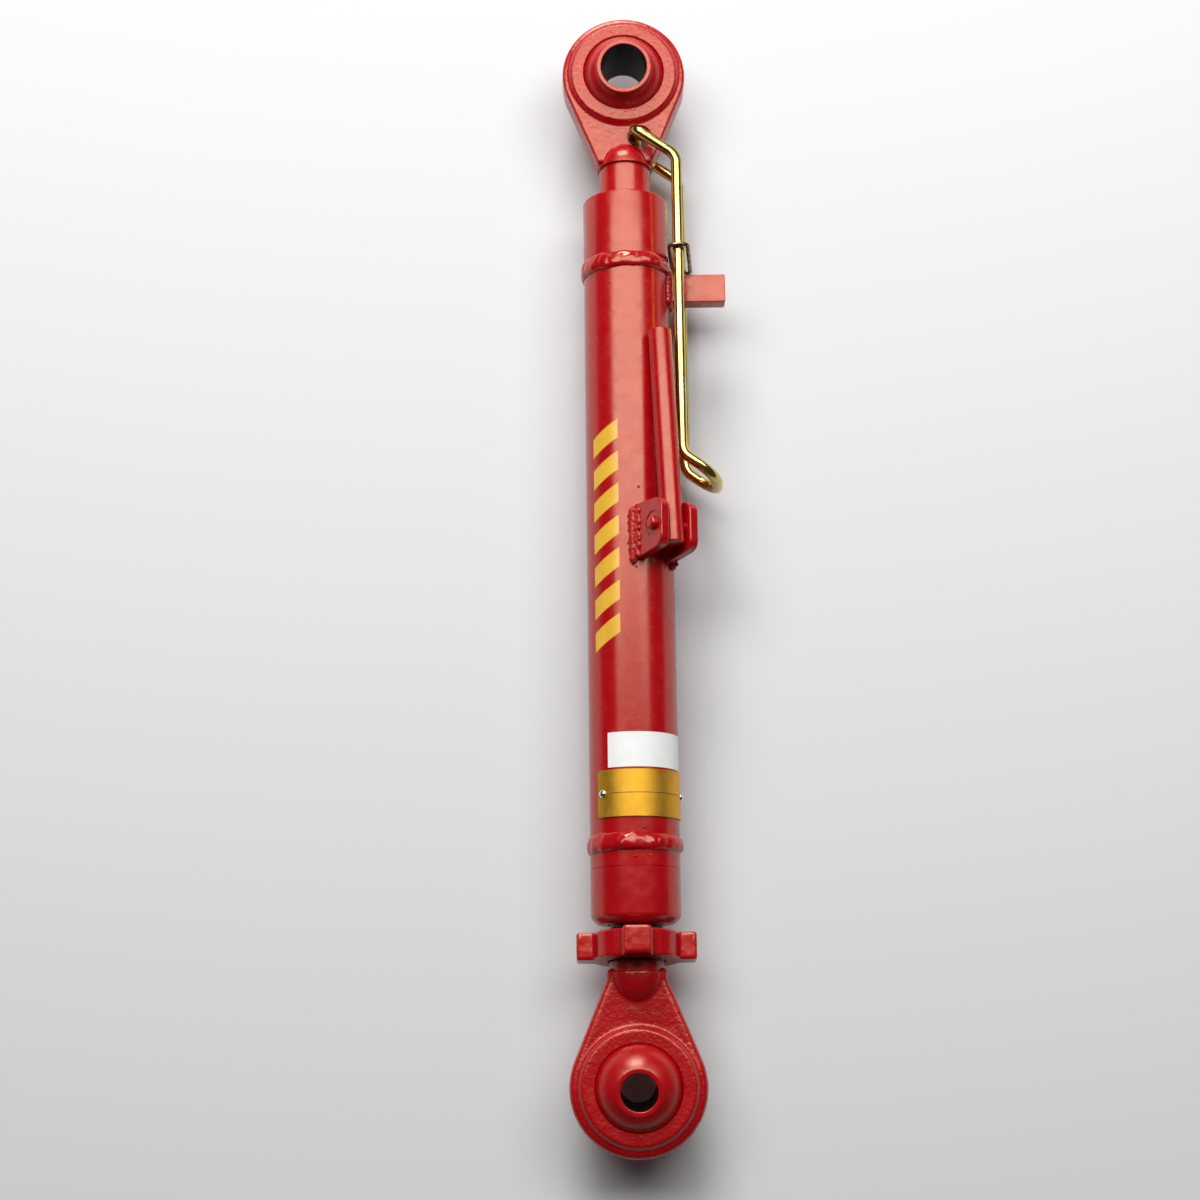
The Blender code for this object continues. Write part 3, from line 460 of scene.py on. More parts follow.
def arc(centre, radius, start, end, steps=ARC_STEPS):
    """Points of a plane arc, its ends included."""
    points = []
    for index in range(steps + 1):
        angle = start + (end - start) * index / steps
        points.append((centre[0] + radius * math.cos(angle), centre[1] + radius * math.sin(angle)))
    return points


def quarter_turn(steps):
    """Pairs of sine and cosine over a quarter of a turn."""
    angles = [math.pi / 2 * index / steps for index in range(steps + 1)]
    return [(math.sin(angle), math.cos(angle)) for angle in angles]


def rounded_path(corners, radii, steps=ARC_STEPS, closed=False):
    """The corners as vectors, each rounded by its radius. A radius of zero keeps the corner."""
    points = []
    count = len(corners)
    for index, (corner, radius) in enumerate(zip(corners, radii)):
        corner = Vector(corner)
        if radius == 0.0 or (not closed and index in (0, count - 1)):
            points.append(corner)
            continue
        towards = (Vector(corners[index - 1]) - corner).normalized()
        onwards = (Vector(corners[(index + 1) % count]) - corner).normalized()
        half = towards.angle(onwards) / 2
        middle = (towards + onwards).normalized()
        centre = corner + middle * radius / math.sin(half)
        sweep = math.pi - 2 * half
        side = (onwards - middle * onwards.dot(middle)).normalized()
        for step in range(steps + 1):
            angle = sweep * (step / steps - 0.5)
            points.append(centre - middle * radius * math.cos(angle) + side * radius * math.sin(angle))
    return points


def profile_path(corners, radii):
    """A plane path of (x, y) corners, rounded."""
    flat = [(x, y, 0.0) for x, y in corners]
    return [(point.x, point.y) for point in rounded_path(flat, radii)]


def lathe(profile, place, steps=ROUND_STEPS):
    """Turned about Z from (radius, height) points: a solid if its ends are on the axis, or else a ring."""
    points = []
    rings = []
    for radius, height in profile:
        if radius < 1e-7:
            rings.append([len(points)])
            points.append((0.0, 0.0, height))
            continue
        rings.append(list(range(len(points), len(points) + steps)))
        for step in range(steps):
            angle = 2 * math.pi * step / steps
            points.append((radius * math.cos(angle), radius * math.sin(angle), height))
    pairs = list(zip(rings, rings[1:]))
    if len(rings[0]) > 1:
        pairs.append((rings[-1], rings[0]))
    faces = []
    for upper, lower in pairs:
        for step in range(steps):
            following = (step + 1) % steps
            if len(upper) == 1:
                faces.append((upper[0], lower[step], lower[following]))
            elif len(lower) == 1:
                faces.append((upper[step], lower[0], upper[following]))
            else:
                faces.append((upper[step], lower[step], lower[following], upper[following]))
    return make_mesh(points, faces, place)


def lathe_on_link(profile, frame=LINK_FRAME):
    """Turned about the link's axis, from (radius, distance) points."""
    return lathe([(radius, -distance) for radius, distance in profile], frame @ ALONG)


def rod_corners(radius, half):
    """Corners of a rod's profile, for a lathe."""
    return [(0.0, half), (radius, half), (radius, -half), (0.0, -half)]


def inset(outline, offset):
    """The closed outline, anticlockwise, moved inwards along its normals."""
    moved = []
    count = len(outline)
    for index, point in enumerate(outline):
        direction = Vector(outline[(index + 1) % count]) - Vector(outline[index - 1])
        normal = Vector((-direction.y, direction.x)).normalized()
        moved.append((point[0] + normal.x * offset, point[1] + normal.y * offset))
    return moved


def rounded_plate(outline, thickness, edge, place):
    """A flat plate in its own XY plane, its outline anticlockwise, with round edges."""
    half = thickness / 2
    levels = [(edge * (1 - sine), half - edge * (1 - cosine)) for sine, cosine in quarter_turn(EDGE_STEPS)]
    levels += [(offset, -height) for offset, height in reversed(levels)]
    points = []
    for offset, height in levels:
        points += [(x, y, height) for x, y in inset(outline, offset)]
    count = len(outline)
    faces = [tuple(range(count)), tuple(reversed(range(len(points) - count, len(points))))]
    for level in range(len(levels) - 1):
        start = level * count
        for index in range(count):
            following = (index + 1) % count
            faces.append((start + index, start + count + index, start + count + following, start + following))
    return make_mesh(points, faces, place)


def evaluated_mesh(item):
    bpy.context.view_layer.update()
    evaluated = item.evaluated_get(bpy.context.evaluated_depsgraph_get())
    return bpy.data.meshes.new_from_object(evaluated)


def settle(meshes, cutters=(), voxel=None, smoothing=0):
    """One mesh of the solids: fused by a voxel remesh where a voxel size is given, smoothed, then cut."""
    shape = bmesh.new()
    for mesh in meshes:
        shape.from_mesh(mesh)
    mesh = bpy.data.meshes.new("settling")
    shape.to_mesh(mesh)
    shape.free()
    item = new_object("settling", mesh)
    if voxel:
        remesh = item.modifiers.new("remesh", 'REMESH')
        remesh.mode = 'VOXEL'
        remesh.voxel_size = voxel
    if smoothing:
        smooth = item.modifiers.new("smooth", 'SMOOTH')
        smooth.factor = 0.5
        smooth.iterations = smoothing
    tools = []
    for cutter in cutters:
        tool = new_object("cutter", cutter)
        tools.append(tool)
        cut = item.modifiers.new("cut", 'BOOLEAN')
        cut.operation = 'DIFFERENCE'
        cut.solver = 'EXACT'
        cut.object = tool
    result = evaluated_mesh(item)
    for spare in tools + [item]:
        bpy.data.objects.remove(spare, do_unlink=True)
    return result


def roughen(mesh, height, size, seed):
    """Moves the surface along its normals by smooth noise of that height and feature size."""
    shift = Vector((seed, 2 * seed, 3 * seed))
    normals = [vertex.normal.copy() for vertex in mesh.vertices]
    for vertex, normal in zip(mesh.vertices, normals):
        vertex.co += normal * height * noise.noise(vertex.co / size + shift)
    mesh.update()
    return mesh


def tube_point(angle, distance, radius):
    """A place by the barrel: angle from its top, distance along the link, and distance from its axis."""
    return LINK_FRAME @ Vector((radius * math.sin(angle), -distance, radius * math.cos(angle)))


def wrapped_sheet(columns, lift, thickness):
    """A thin sheet on the barrel, from (angle, start distance, end distance) columns."""
    points = []
    for height in (lift, lift + thickness):
        for angle, start, end in columns:
            points.append(tube_point(angle, start, TUBE_RADIUS + height))
            points.append(tube_point(angle, end, TUBE_RADIUS + height))
    count = 2 * len(columns)
    faces = [(0, 1, count + 1, count), (count - 2, count - 1, 2 * count - 1, 2 * count - 2)]
    for index in range(0, count - 2, 2):
        faces.append((index, index + 1, index + 3, index + 2))
        faces.append((count + index, count + index + 1, count + index + 3, count + index + 2))
        faces.append((index, index + 2, count + index + 2, count + index))
        faces.append((index + 1, index + 3, count + index + 3, count + index + 1))
    return make_mesh(points, faces)


def sheet_columns(start_angle, end_angle, start, end, corner):
    """Columns of a sheet with square sides and rounded corners."""
    arc_length = TUBE_RADIUS * (end_angle - start_angle)
    places = [corner * (1 - cosine) for sine, cosine in quarter_turn(ARC_STEPS)[:-1]]
    middle = arc_length - 2 * corner
    sides = places + [corner + middle * index / SHEET_STEPS for index in range(SHEET_STEPS + 1)]
    sides += [arc_length - place for place in reversed(places)]
    columns = []
    for place in sides:
        inset_length = max(corner - min(place, arc_length - place), 0.0)
        cut = corner - math.sqrt(corner ** 2 - inset_length ** 2)
        columns.append((start_angle + place / TUBE_RADIUS, start + cut, end - cut))
    return columns


def eye_outline(outer_radius, shoulder):
    """The forging's plan, anticlockwise: a disc round the ball that tapers in straight sides to the neck.

    A shoulder is the half width and the distance of a parallel stretch that ends the web.
    """
    radius = outer_radius - SKIN_ALLOWANCE
    outline = arc((0.0, 0.0), radius, -EYE_TAPER, math.pi + EYE_TAPER, ROUND_STEPS)
    if shoulder is None:
        neck_half = outer_radius / math.cos(EYE_TAPER) - EYE_NECK_LENGTH * math.tan(EYE_TAPER)
        return outline + [(-neck_half, -EYE_NECK_LENGTH), (neck_half, -EYE_NECK_LENGTH)]
    half, end = shoulder
    meeting = (radius / math.cos(EYE_TAPER) - half) / math.tan(EYE_TAPER)
    corners = [outline[-1], (-half, -meeting), (-half, -end), (half, -end), (half, -meeting), outline[0]]
    radii = [0.0, SHOULDER_FILLET, SHOULDER_CORNER, SHOULDER_CORNER, SHOULDER_FILLET, 0.0]
    return outline + profile_path(corners, radii)[1:-1]


def dome_profile(radius, length):
    """The nose from its tip to its full radius, as (radius, distance) points."""
    turn = quarter_turn(2 * ARC_STEPS)
    return [(radius * sine, NOSE_TIP_DISTANCE + length * (1 - cosine)) for sine, cosine in turn]


def thread_mesh(start, end, hand, frame):
    """A threaded rod: its radius follows a flattened V along a helix."""
    steps = THREAD_STEPS
    rings = int((end - start) / THREAD_PITCH * THREAD_RINGS)
    points = []
    for ring in range(rings + 1):
        distance = start + (end - start) * ring / rings
        ending = min(1.0, (end - distance) / (2 * THREAD_DEPTH))
        for step in range(steps):
            phase = (distance / THREAD_PITCH + hand * step / steps) % 1.0
            rise = min(1.0, max(0.0, THREAD_FLANK * abs(2 * phase - 1) - THREAD_FLAT))
            taper = 1 - THREAD_END_TAPER * (1 - ending)
            radius = (SHANK_RADIUS - THREAD_DEPTH * (1 - rise)) * taper
            angle = 2 * math.pi * step / steps
            points.append((radius * math.cos(angle), radius * math.sin(angle), -distance))
    faces = [tuple(range(steps)), tuple(range(rings * steps, (rings + 1) * steps))]
    for ring in range(rings):
        for step in range(steps):
            following = (step + 1) % steps
            low, high = ring * steps, (ring + 1) * steps
            faces.append((low + step, high + step, high + following, low + following))
    return make_mesh(points, faces, frame @ ALONG)


def make_eye(name, frame, outer_radius, nose, barrel_distance, body, looks, shoulder=None, bail_hole=False):
    """A forged eye: its fused body with the ball's seat, its turned nose or neck, and its threaded shank."""
    half_ring = EYE_RING_WIDTH / 2
    ring_radius = EYE_RING_DIAMETER / 2
    foot = ring_radius + EYE_RING_SLOPE
    half_web = EYE_WEB_THICKNESS / 2
    nose_radius, nose_length, grooved = nose
    outline = eye_outline(outer_radius, shoulder)
    edge_round = UPPER_EYE_EDGE_ROUND if grooved else LOWER_EYE_EDGE_ROUND
    web = rounded_plate(outline, EYE_WEB_THICKNESS, edge_round, frame)
    corners = [(0.0, half_ring), (ring_radius, half_ring), (foot, half_web - CLEARANCE),
               (foot, CLEARANCE - half_web), (ring_radius, -half_ring), (0.0, -half_ring)]
    ring = lathe(corners, frame)
    nose_end = NOSE_TIP_DISTANCE + nose_length
    solids = [web, ring]
    dome = dome_profile(nose_radius, nose_length)
    if grooved:
        groove = nose_radius - NOSE_GROOVE_DEPTH
        dome += [(groove, nose_end + CLEARANCE), (groove, nose_end + NOSE_GROOVE_WIDTH)]
        neck_start = nose_end + NOSE_GROOVE_WIDTH + CLEARANCE
        thread_start = barrel_distance + CLEARANCE
    else:
        solid = dome[:-1]
        solid += [(nose_radius, nose_end - CLEARANCE), (nose_radius - CLEARANCE, nose_end), (0.0, nose_end)]
        solids.append(lathe_on_link(solid, frame))
        dome = [(0.0, nose_end - NOSE_GROOVE_WIDTH)]
        neck_start = nose_end - NOSE_GROOVE_WIDTH
        thread_start = barrel_distance - LOCK_NUT_GAP - LOCK_NUT_THICKNESS
    dome += [(SHANK_RADIUS, neck_start), (SHANK_RADIUS, thread_start),
             (SHANK_RADIUS - THREAD_DEPTH, thread_start + THREAD_DEPTH), (0.0, thread_start + THREAD_DEPTH)]
    seat = [(0.0, BALL_RADIUS)]
    seat += arc((0.0, 0.0), BALL_RADIUS + CLEARANCE, math.pi / 2, -math.pi / 2, SMALL_STEPS)[1:-1]
    seat += [(0.0, -BALL_RADIUS)]
    cutters = [lathe(seat, frame, FINE_STEPS)]
    mouth = math.sqrt((BALL_RADIUS + CLEARANCE) ** 2 - half_ring ** 2)
    lip = [(0.0, half_ring + SEAT_LIP), (mouth + 2 * SEAT_LIP, half_ring + SEAT_LIP),
           (mouth - SEAT_LIP, half_ring - 3 * SEAT_LIP), (0.0, half_ring - 3 * SEAT_LIP)]
    for turn in (0.0, math.pi):
        cutters.append(lathe(lip, frame @ Matrix.Rotation(turn, 4, 'X'), FINE_STEPS))
    neck = lathe_on_link(dome, frame)
    if bail_hole:
        place = frame @ Matrix.Translation((BAIL_HOLE_SIDE, -BAIL_HOLE_DISTANCE, 0.0))
        hole = rod_corners(BAIL_HOLE_RADIUS, 2 * UPPER_NOSE_RADIUS)
        cutters.append(lathe(hole, place, SMALL_STEPS))
        neck = settle([neck], cutters[-1:])
    forging = settle(solids, (), FORGING_VOXEL, UPPER_SMOOTHING if grooved else LOWER_SMOOTHING)
    forging = settle([roughen(forging, *FORGING_SKIN)], cutters)
    add_piece(name + "_forging", forging, looks["forging"], body, (name,), 35.0)
    add_piece(name + "_neck", neck, looks["enamel"], body, (), 35.0)
    thread = thread_mesh(thread_start, barrel_distance + SHANK_ENGAGEMENT, 1 if grooved else -1, frame)
    add_piece(name + "_thread", thread, looks["thread"], body, (), 35.0)


def make_ball(name, width, bore_diameter, face_radius, frame, body, looks):
    """A bored ball, with a collar that runs into it in a fillet where its face is proud of the sphere."""
    half = width / 2
    bore = bore_diameter / 2
    side = [(bore, 0.0), (bore, half), (face_radius, half)]
    radii = [0.0, BORE_EDGE_ROUND, BORE_EDGE_ROUND]
    edge = math.asin(face_radius / BALL_RADIUS)
    if BALL_RADIUS * math.cos(edge) < half - CLEARANCE:
        side.append((face_radius, BALL_RADIUS * math.cos(edge + COLLAR_SINK_ANGLE)))
        radii.append(COLLAR_FILLET)
        edge = math.asin((face_radius + COLLAR_FILLET) / BALL_RADIUS)
    sphere_start = edge + FILLET_END_ANGLE
    side.append((BALL_RADIUS * math.sin(sphere_start), BALL_RADIUS * math.cos(sphere_start)))
    radii.append(0.0)
    upper = profile_path(side, radii)
    for index in range(1, SMALL_STEPS):
        angle = sphere_start + (math.pi / 2 - sphere_start) * index / SMALL_STEPS
        upper.append((BALL_RADIUS * math.sin(angle), BALL_RADIUS * math.cos(angle)))
    profile = upper + [(BALL_RADIUS, 0.0)] + [(radius, -height) for radius, height in reversed(upper[1:])]
    ball = lathe(profile, frame, FINE_STEPS)
    add_piece(name + "_turned", ball, looks["ball"], body, (name,), 35.0)
    # A near-black skin just inside the bore: painted shade, drawing the deep bore dark
    inner, outer = bore - BORE_SHADE_THICKNESS, bore + BORE_SHADE_ROOT
    end = half - BORE_SHADE_INSET
    profile = [(outer, end), (inner, end), (inner, -end), (outer, -end)]
    bore_shade = lathe(profile, frame, FINE_STEPS)
    add_piece(name + "_bore_shade_skin", bore_shade, looks["bore"], body)


def make_barrel(looks):
    """The tube and its two end nuts, turned."""
    tube_start, tube_end = UPPER_WELD_DISTANCE, LOWER_WELD_DISTANCE
    inner = TUBE_RADIUS - TUBE_WALL
    tube = [(inner, tube_start), (TUBE_RADIUS, tube_start)]
    for step in range(1, SHEET_STEPS):
        tube.append((TUBE_RADIUS, tube_start + (tube_end - tube_start) * step / SHEET_STEPS))
    tube += [(TUBE_RADIUS, tube_end), (inner, tube_end)]
    mesh = lathe_on_link(tube)
    add_piece("barrel_skin", mesh, looks["enamel"], "barrel", ("barrel_tube",))
    bore = SHANK_RADIUS + CLEARANCE
    spigot = inner - CLEARANCE
    start, end = BARREL_START, UPPER_WELD_DISTANCE
    corners = [(bore, start), (TUBE_RADIUS, start), (TUBE_RADIUS, end),
               (spigot, end), (spigot, end + SPIGOT_LENGTH), (bore, end + SPIGOT_LENGTH)]
    radii = [0.0, NUT_TOP_ROUND, 0.0, 0.0, 0.0, 0.0]
    upper = lathe_on_link(profile_path(corners, radii))
    add_piece("upper_nut_turned", upper, looks["enamel"], "barrel", ("upper_end_nut",), 50.0)
    start, end = LOWER_WELD_DISTANCE, BARREL_END
    groove = end - NUT_GROOVE_DISTANCE
    line = NUT_GROOVE_DEPTH / 2
    corners = [(bore, start - SPIGOT_LENGTH), (spigot, start - SPIGOT_LENGTH), (spigot, start),
               (TUBE_RADIUS, start), (TUBE_RADIUS, groove - line), (TUBE_RADIUS - line, groove - line / 2),
               (TUBE_RADIUS - line, groove + line / 2), (TUBE_RADIUS, groove + line),
               (TUBE_RADIUS, end - NUT_BOTTOM_CHAMFER), (TUBE_RADIUS - NUT_BOTTOM_CHAMFER, end), (bore, end)]
    radii = [0.0] * 8 + [NUT_BOTTOM_ROUND, NUT_BOTTOM_ROUND, 0.0]
    lower = lathe_on_link(profile_path(corners, radii))
    add_piece("lower_nut_turned", lower, looks["enamel"], "barrel", ("lower_end_nut",), 50.0)


def weld_bead(name, distance, lumps, seed, looks):
    """A rippled bead round the barrel, with its lumps."""
    steps, section = BEAD_STEPS, BEAD_SECTION
    points = []
    for step in range(steps):
        angle = 2 * math.pi * step / steps
        probe = Vector((math.sin(angle), math.cos(angle), seed)) * BEAD_NOISE_SCALE
        swell = 1.0 + BEAD_SWELL * noise.noise(probe)
        wander = BEAD_WANDER * noise.noise(probe + Vector((7.0, 0.0, 0.0)))
        half = WELD_NARROW + (WELD_WIDE - WELD_NARROW) * (0.5 - 0.5 * math.sin(angle))
        half *= 1.0 + BEAD_WIDTH_CHANGE * noise.noise(probe * 1.7 + Vector((0.0, 9.0, 0.0)))
        height = WELD_CROWN * swell
        upper = lower = half
        for middle, reach, extra_height, extra_width in lumps:
            away = (angle - middle + math.pi) % (2 * math.pi) - math.pi
            share = math.exp(-(away / reach) ** 2)
            height += extra_height * share
            upper += extra_width * share
        for index in range(section + 1):
            across = 2 * index / section - 1
            crown = 1 - across * across
            leaning = across + BEAD_LEAN * crown
            curve = max(0.0, crown) ** BEAD_ROUNDNESS
            travel = (angle + RIPPLE_SKEW * across) * TUBE_RADIUS / RIPPLE_PITCH + RIPPLE_BOW * crown
            phase = 2 * math.pi * (travel + RIPPLE_STRAY * noise.noise(probe * 2.0))
            ripple = RIPPLE_DEPTH * (0.5 + 0.5 * math.cos(phase)) * curve
            along = distance + wander + (upper if leaning < 0.0 else lower) * leaning
            points.append(tube_point(angle, along, TUBE_RADIUS - WELD_TOE + height * curve - ripple))
        points.append(tube_point(angle, distance + WELD_NARROW, TUBE_RADIUS - WELD_ROOT))
        points.append(tube_point(angle, distance - WELD_NARROW, TUBE_RADIUS - WELD_ROOT))
    row = section + 3
    faces = []
    for step in range(steps):
        low, high = step * row, (step + 1) % steps * row
        for index in range(row):
            following = (index + 1) % row
            faces.append((low + index, low + following, high + following, high + index))
    mesh = roughen(make_mesh(points, faces), *BEAD_SKIN, seed)
    add_piece(name + "_rippled", mesh, looks["weld"], "barrel", (name,), 80.0)


def fused_blobs(blobs, voxel=WELD_VOXEL, smoothing=3):
    """Balls of weld metal, given as (place, radius), run into one another."""
    solids = []
    for place, radius in blobs:
        shape = bmesh.new()
        bmesh.ops.create_icosphere(shape, subdivisions=3, radius=radius, matrix=Matrix.Translation(place))
        mesh = bpy.data.meshes.new("blob")
        shape.to_mesh(mesh)
        shape.free()
        solids.append(mesh)
    return settle(solids, (), voxel, smoothing)


def bracket_point(across, along, out):
    """A place by the lever's bracket: along the pin, towards +Y, and out from the barrel's axis."""
    return BRACKET_FRAME @ Vector((across, along, out))


def make_foot_welds(looks):
    """The lumpy welds along both ears and at the lug's foot."""
    chance = random.Random(5)
    face = EAR_GAP / 2 + EAR_THICKNESS
    for side, word in ((-1, "left"), (1, "right")):
        blobs = []
        for index in range(EAR_WELD_DROPS):
            share = index / (EAR_WELD_DROPS - 1)
            along = EAR_WELD_START - EAR_WELD_LENGTH * share
            climb = chance.random()
            away = (1 - climb) * EAR_WELD_FOOT * chance.uniform(0.3, 1.0)
            across = side * (face + away)
            out = math.sqrt(TUBE_RADIUS ** 2 - across ** 2) + climb * EAR_WELD_CLIMB - EAR_WELD_SINK
            blobs.append((bracket_point(across, along, out), chance.uniform(*EAR_WELD_SMALL)))
            across = side * (face + EAR_WELD_LARGE_OFFSET)
            out = math.sqrt(TUBE_RADIUS ** 2 - across ** 2) + EAR_WELD_LARGE_LIFT
            blobs.append((bracket_point(across, along, out), chance.uniform(*EAR_WELD_LARGE)))
        mesh = roughen(fused_blobs(blobs, smoothing=2), *EAR_WELD_SKIN, 3.0 + side)
        add_piece("ear_weld_lumps_" + word, mesh, looks["crust"], "barrel",
                  ("ear_weld_" + word,), 80.0)
    blobs = []
    radius = TUBE_RADIUS + LUG_WELD_LIFT
    for end in (-1, 1):
        for index in range(5):
            height = LUG_THICKNESS * (index / 4 - 0.5)
            along = LUG_DISTANCE + end * (LUG_LENGTH / 2 + LUG_WELD_OFFSET)
            angle = math.pi / 2 - math.asin(height / TUBE_RADIUS)
            blobs.append((tube_point(angle, along, radius), LUG_WELD_RADIUS))
        for index in range(7):
            along = LUG_DISTANCE + LUG_LENGTH * (index / 6 - 0.5)
            angle = math.pi / 2 - end * math.asin((LUG_THICKNESS / 2 + LUG_WELD_OFFSET) / TUBE_RADIUS)
            size = LUG_WELD_RADIUS + LUG_WELD_CHANGE * noise.noise(Vector((index * 1.3, end, 5.0)))
            blobs.append((tube_point(angle, along, radius), size))
    mesh = roughen(fused_blobs(blobs), *LUG_WELD_SKIN)
    add_piece("lug_weld_lumps", mesh, looks["weld"], "barrel", ("lug_weld",), 80.0)


def make_lug(looks):
    """The flat bar of the lug, nearly square at its corners."""
    foot = TUBE_RADIUS - 2 * LUG_CORNER_RADIUS
    half = LUG_LENGTH / 2
    corners = [(foot, -half), (LUG_REACH, -half), (LUG_REACH, half), (foot, half)]
    outline = profile_path(corners, [0.0, LUG_CORNER_RADIUS, LUG_CORNER_RADIUS, 0.0])
    mesh = rounded_plate(outline, LUG_THICKNESS, LUG_EDGE_ROUND, along_link(LUG_DISTANCE))
    add_piece("lug_bar", mesh, looks["cast"], "barrel", ("locking_lug",), 50.0)


def make_spatter(looks):
    """Drops of weld metal that stuck to the tube near the welds."""
    blobs = []
    for angle, distance, size in SPATTER:
        blobs.append((tube_point(math.radians(angle), distance, TUBE_RADIUS), size))
    mesh = fused_blobs(blobs, WELD_VOXEL / 2, 2)
    add_piece("spatter_drops", mesh, looks["weld"], "barrel", (), 80.0)


def make_lever(looks):
    """The lever's round bar and its pin."""
    free_length = LEVER_LENGTH - LEVER_BUTT_LENGTH
    drop = PIN_RADIAL_DISTANCE - (TUBE_RADIUS + LEVER_RADIUS + CLEARANCE)
    lean = math.asin(drop / free_length)
    pin_frame = BRACKET_FRAME @ Matrix.Translation((0.0, 0.0, PIN_RADIAL_DISTANCE))
    place = pin_frame @ Matrix.Rotation(-lean, 4, 'X') @ ALONG
    corners = [(0.0, free_length), (LEVER_RADIUS, free_length), (LEVER_RADIUS, -LEVER_BUTT_LENGTH),
               (0.0, -LEVER_BUTT_LENGTH)]
    bar = profile_path(corners, [0.0, LEVER_EDGE_ROUND, LEVER_EDGE_ROUND, 0.0])
    mesh = lathe(bar, place, ROD_STEPS)
    add_piece("lever_bar", mesh, looks["enamel"], "lever", ("turning_lever",))
    half = EAR_GAP / 2 + EAR_THICKNESS + PIN_PROUD
    pin = profile_path(rod_corners(PIN_RADIUS, half), [0.0, PIN_RADIUS / 2, PIN_RADIUS / 2, 0.0])
    mesh = lathe(pin, pin_frame @ ACROSS, SMALL_STEPS)
    add_piece("lever_pin_turned", mesh, looks["enamel"], "barrel", ("lever_pin",))


def lock_nut_outline():
    """A round nut with square lobes, its first lobe upward, anticlockwise."""
    half = LOCK_NUT_LOBE_WIDTH / 2
    root_angle = math.asin(half / LOCK_NUT_ROOT_RADIUS)
    root_height = LOCK_NUT_ROOT_RADIUS * math.cos(root_angle)
    pitch = 2 * math.pi / LOCK_NUT_LOBES
    corners = []
    radii = []
    for lobe in range(LOCK_NUT_LOBES):
        turn = Matrix.Rotation(lobe * pitch, 4, 'Z')
        lobe_corners = [(root_height, -half), (LOCK_NUT_LOBE_RADIUS, -half), (LOCK_NUT_LOBE_RADIUS, half),
                        (root_height, half)]
        corners += [turn @ Vector((x, y, 0.0)) for x, y in lobe_corners]
        radii += [LOCK_NUT_FILLET, LOCK_NUT_CORNER_RADIUS, LOCK_NUT_CORNER_RADIUS, LOCK_NUT_FILLET]
        root = arc((0.0, 0.0), LOCK_NUT_ROOT_RADIUS, root_angle, pitch - root_angle, 4 * ARC_STEPS)
        inner_root = root[ARC_STEPS:-ARC_STEPS]
        corners += [turn @ Vector((x, y, 0.0)) for x, y in inner_root]
        radii += [0.0] * len(inner_root)
    return [(point.x, point.y) for point in rounded_path(corners, radii, ARC_STEPS, closed=True)]


def make_lock_nut(looks):
    middle = BARREL_END + LOCK_NUT_GAP + LOCK_NUT_THICKNESS / 2
    turn = Matrix.Rotation(math.radians(90) - LOCK_NUT_LEAN, 4, 'X')
    frame = along_link(middle) @ turn
    nut = rounded_plate(lock_nut_outline(), LOCK_NUT_THICKNESS, LOCK_NUT_EDGE_ROUND, frame)
    nut = roughen(settle([nut], (), FORGING_VOXEL, NUT_SMOOTHING), *NUT_SKIN)
    bore = SHANK_RADIUS + CLEARANCE + LOCK_NUT_THICKNESS / 2 * math.tan(LOCK_NUT_LEAN)
    hole = lathe(rod_corners(bore, LOCK_NUT_THICKNESS), frame, ROD_STEPS)
    nut = settle([nut], [hole])
    add_piece("lock_nut_cast", nut, looks["nut"], "locking_nut", ("lock_nut",), 35.0)


def bent_wire(name, points, radius, closed, body, material, nodes):
    """A round wire along the points."""
    curve = bpy.data.curves.new(name, 'CURVE')
    curve.dimensions = '3D'
    curve.bevel_depth = radius
    curve.bevel_resolution = 6
    curve.use_fill_caps = True
    spline = curve.splines.new('POLY')
    spline.points.add(len(points) - 1)
    for point, place in zip(spline.points, points):
        point.co = (*place, 1.0)
    spline.use_cyclic_u = closed
    guide = new_object(name + "_guide", curve)
    mesh = evaluated_mesh(guide)
    bpy.data.objects.remove(guide, do_unlink=True)
    add_piece(name, mesh, material, body, nodes, 60.0)


def bail_pivot():
    """Where the leaning wire rests in its hole: towards the link's axis and the ball, in the link's plane."""
    play = BAIL_HOLE_RADIUS - BAIL_WIRE_RADIUS - CLEARANCE - EYE_WEB_THICKNESS / 2 * math.sin(BAIL_LEAN)
    return (BAIL_HOLE_SIDE - play * math.cos(BAIL_REST_ANGLE),
            -BAIL_HOLE_DISTANCE + play * math.sin(BAIL_REST_ANGLE))


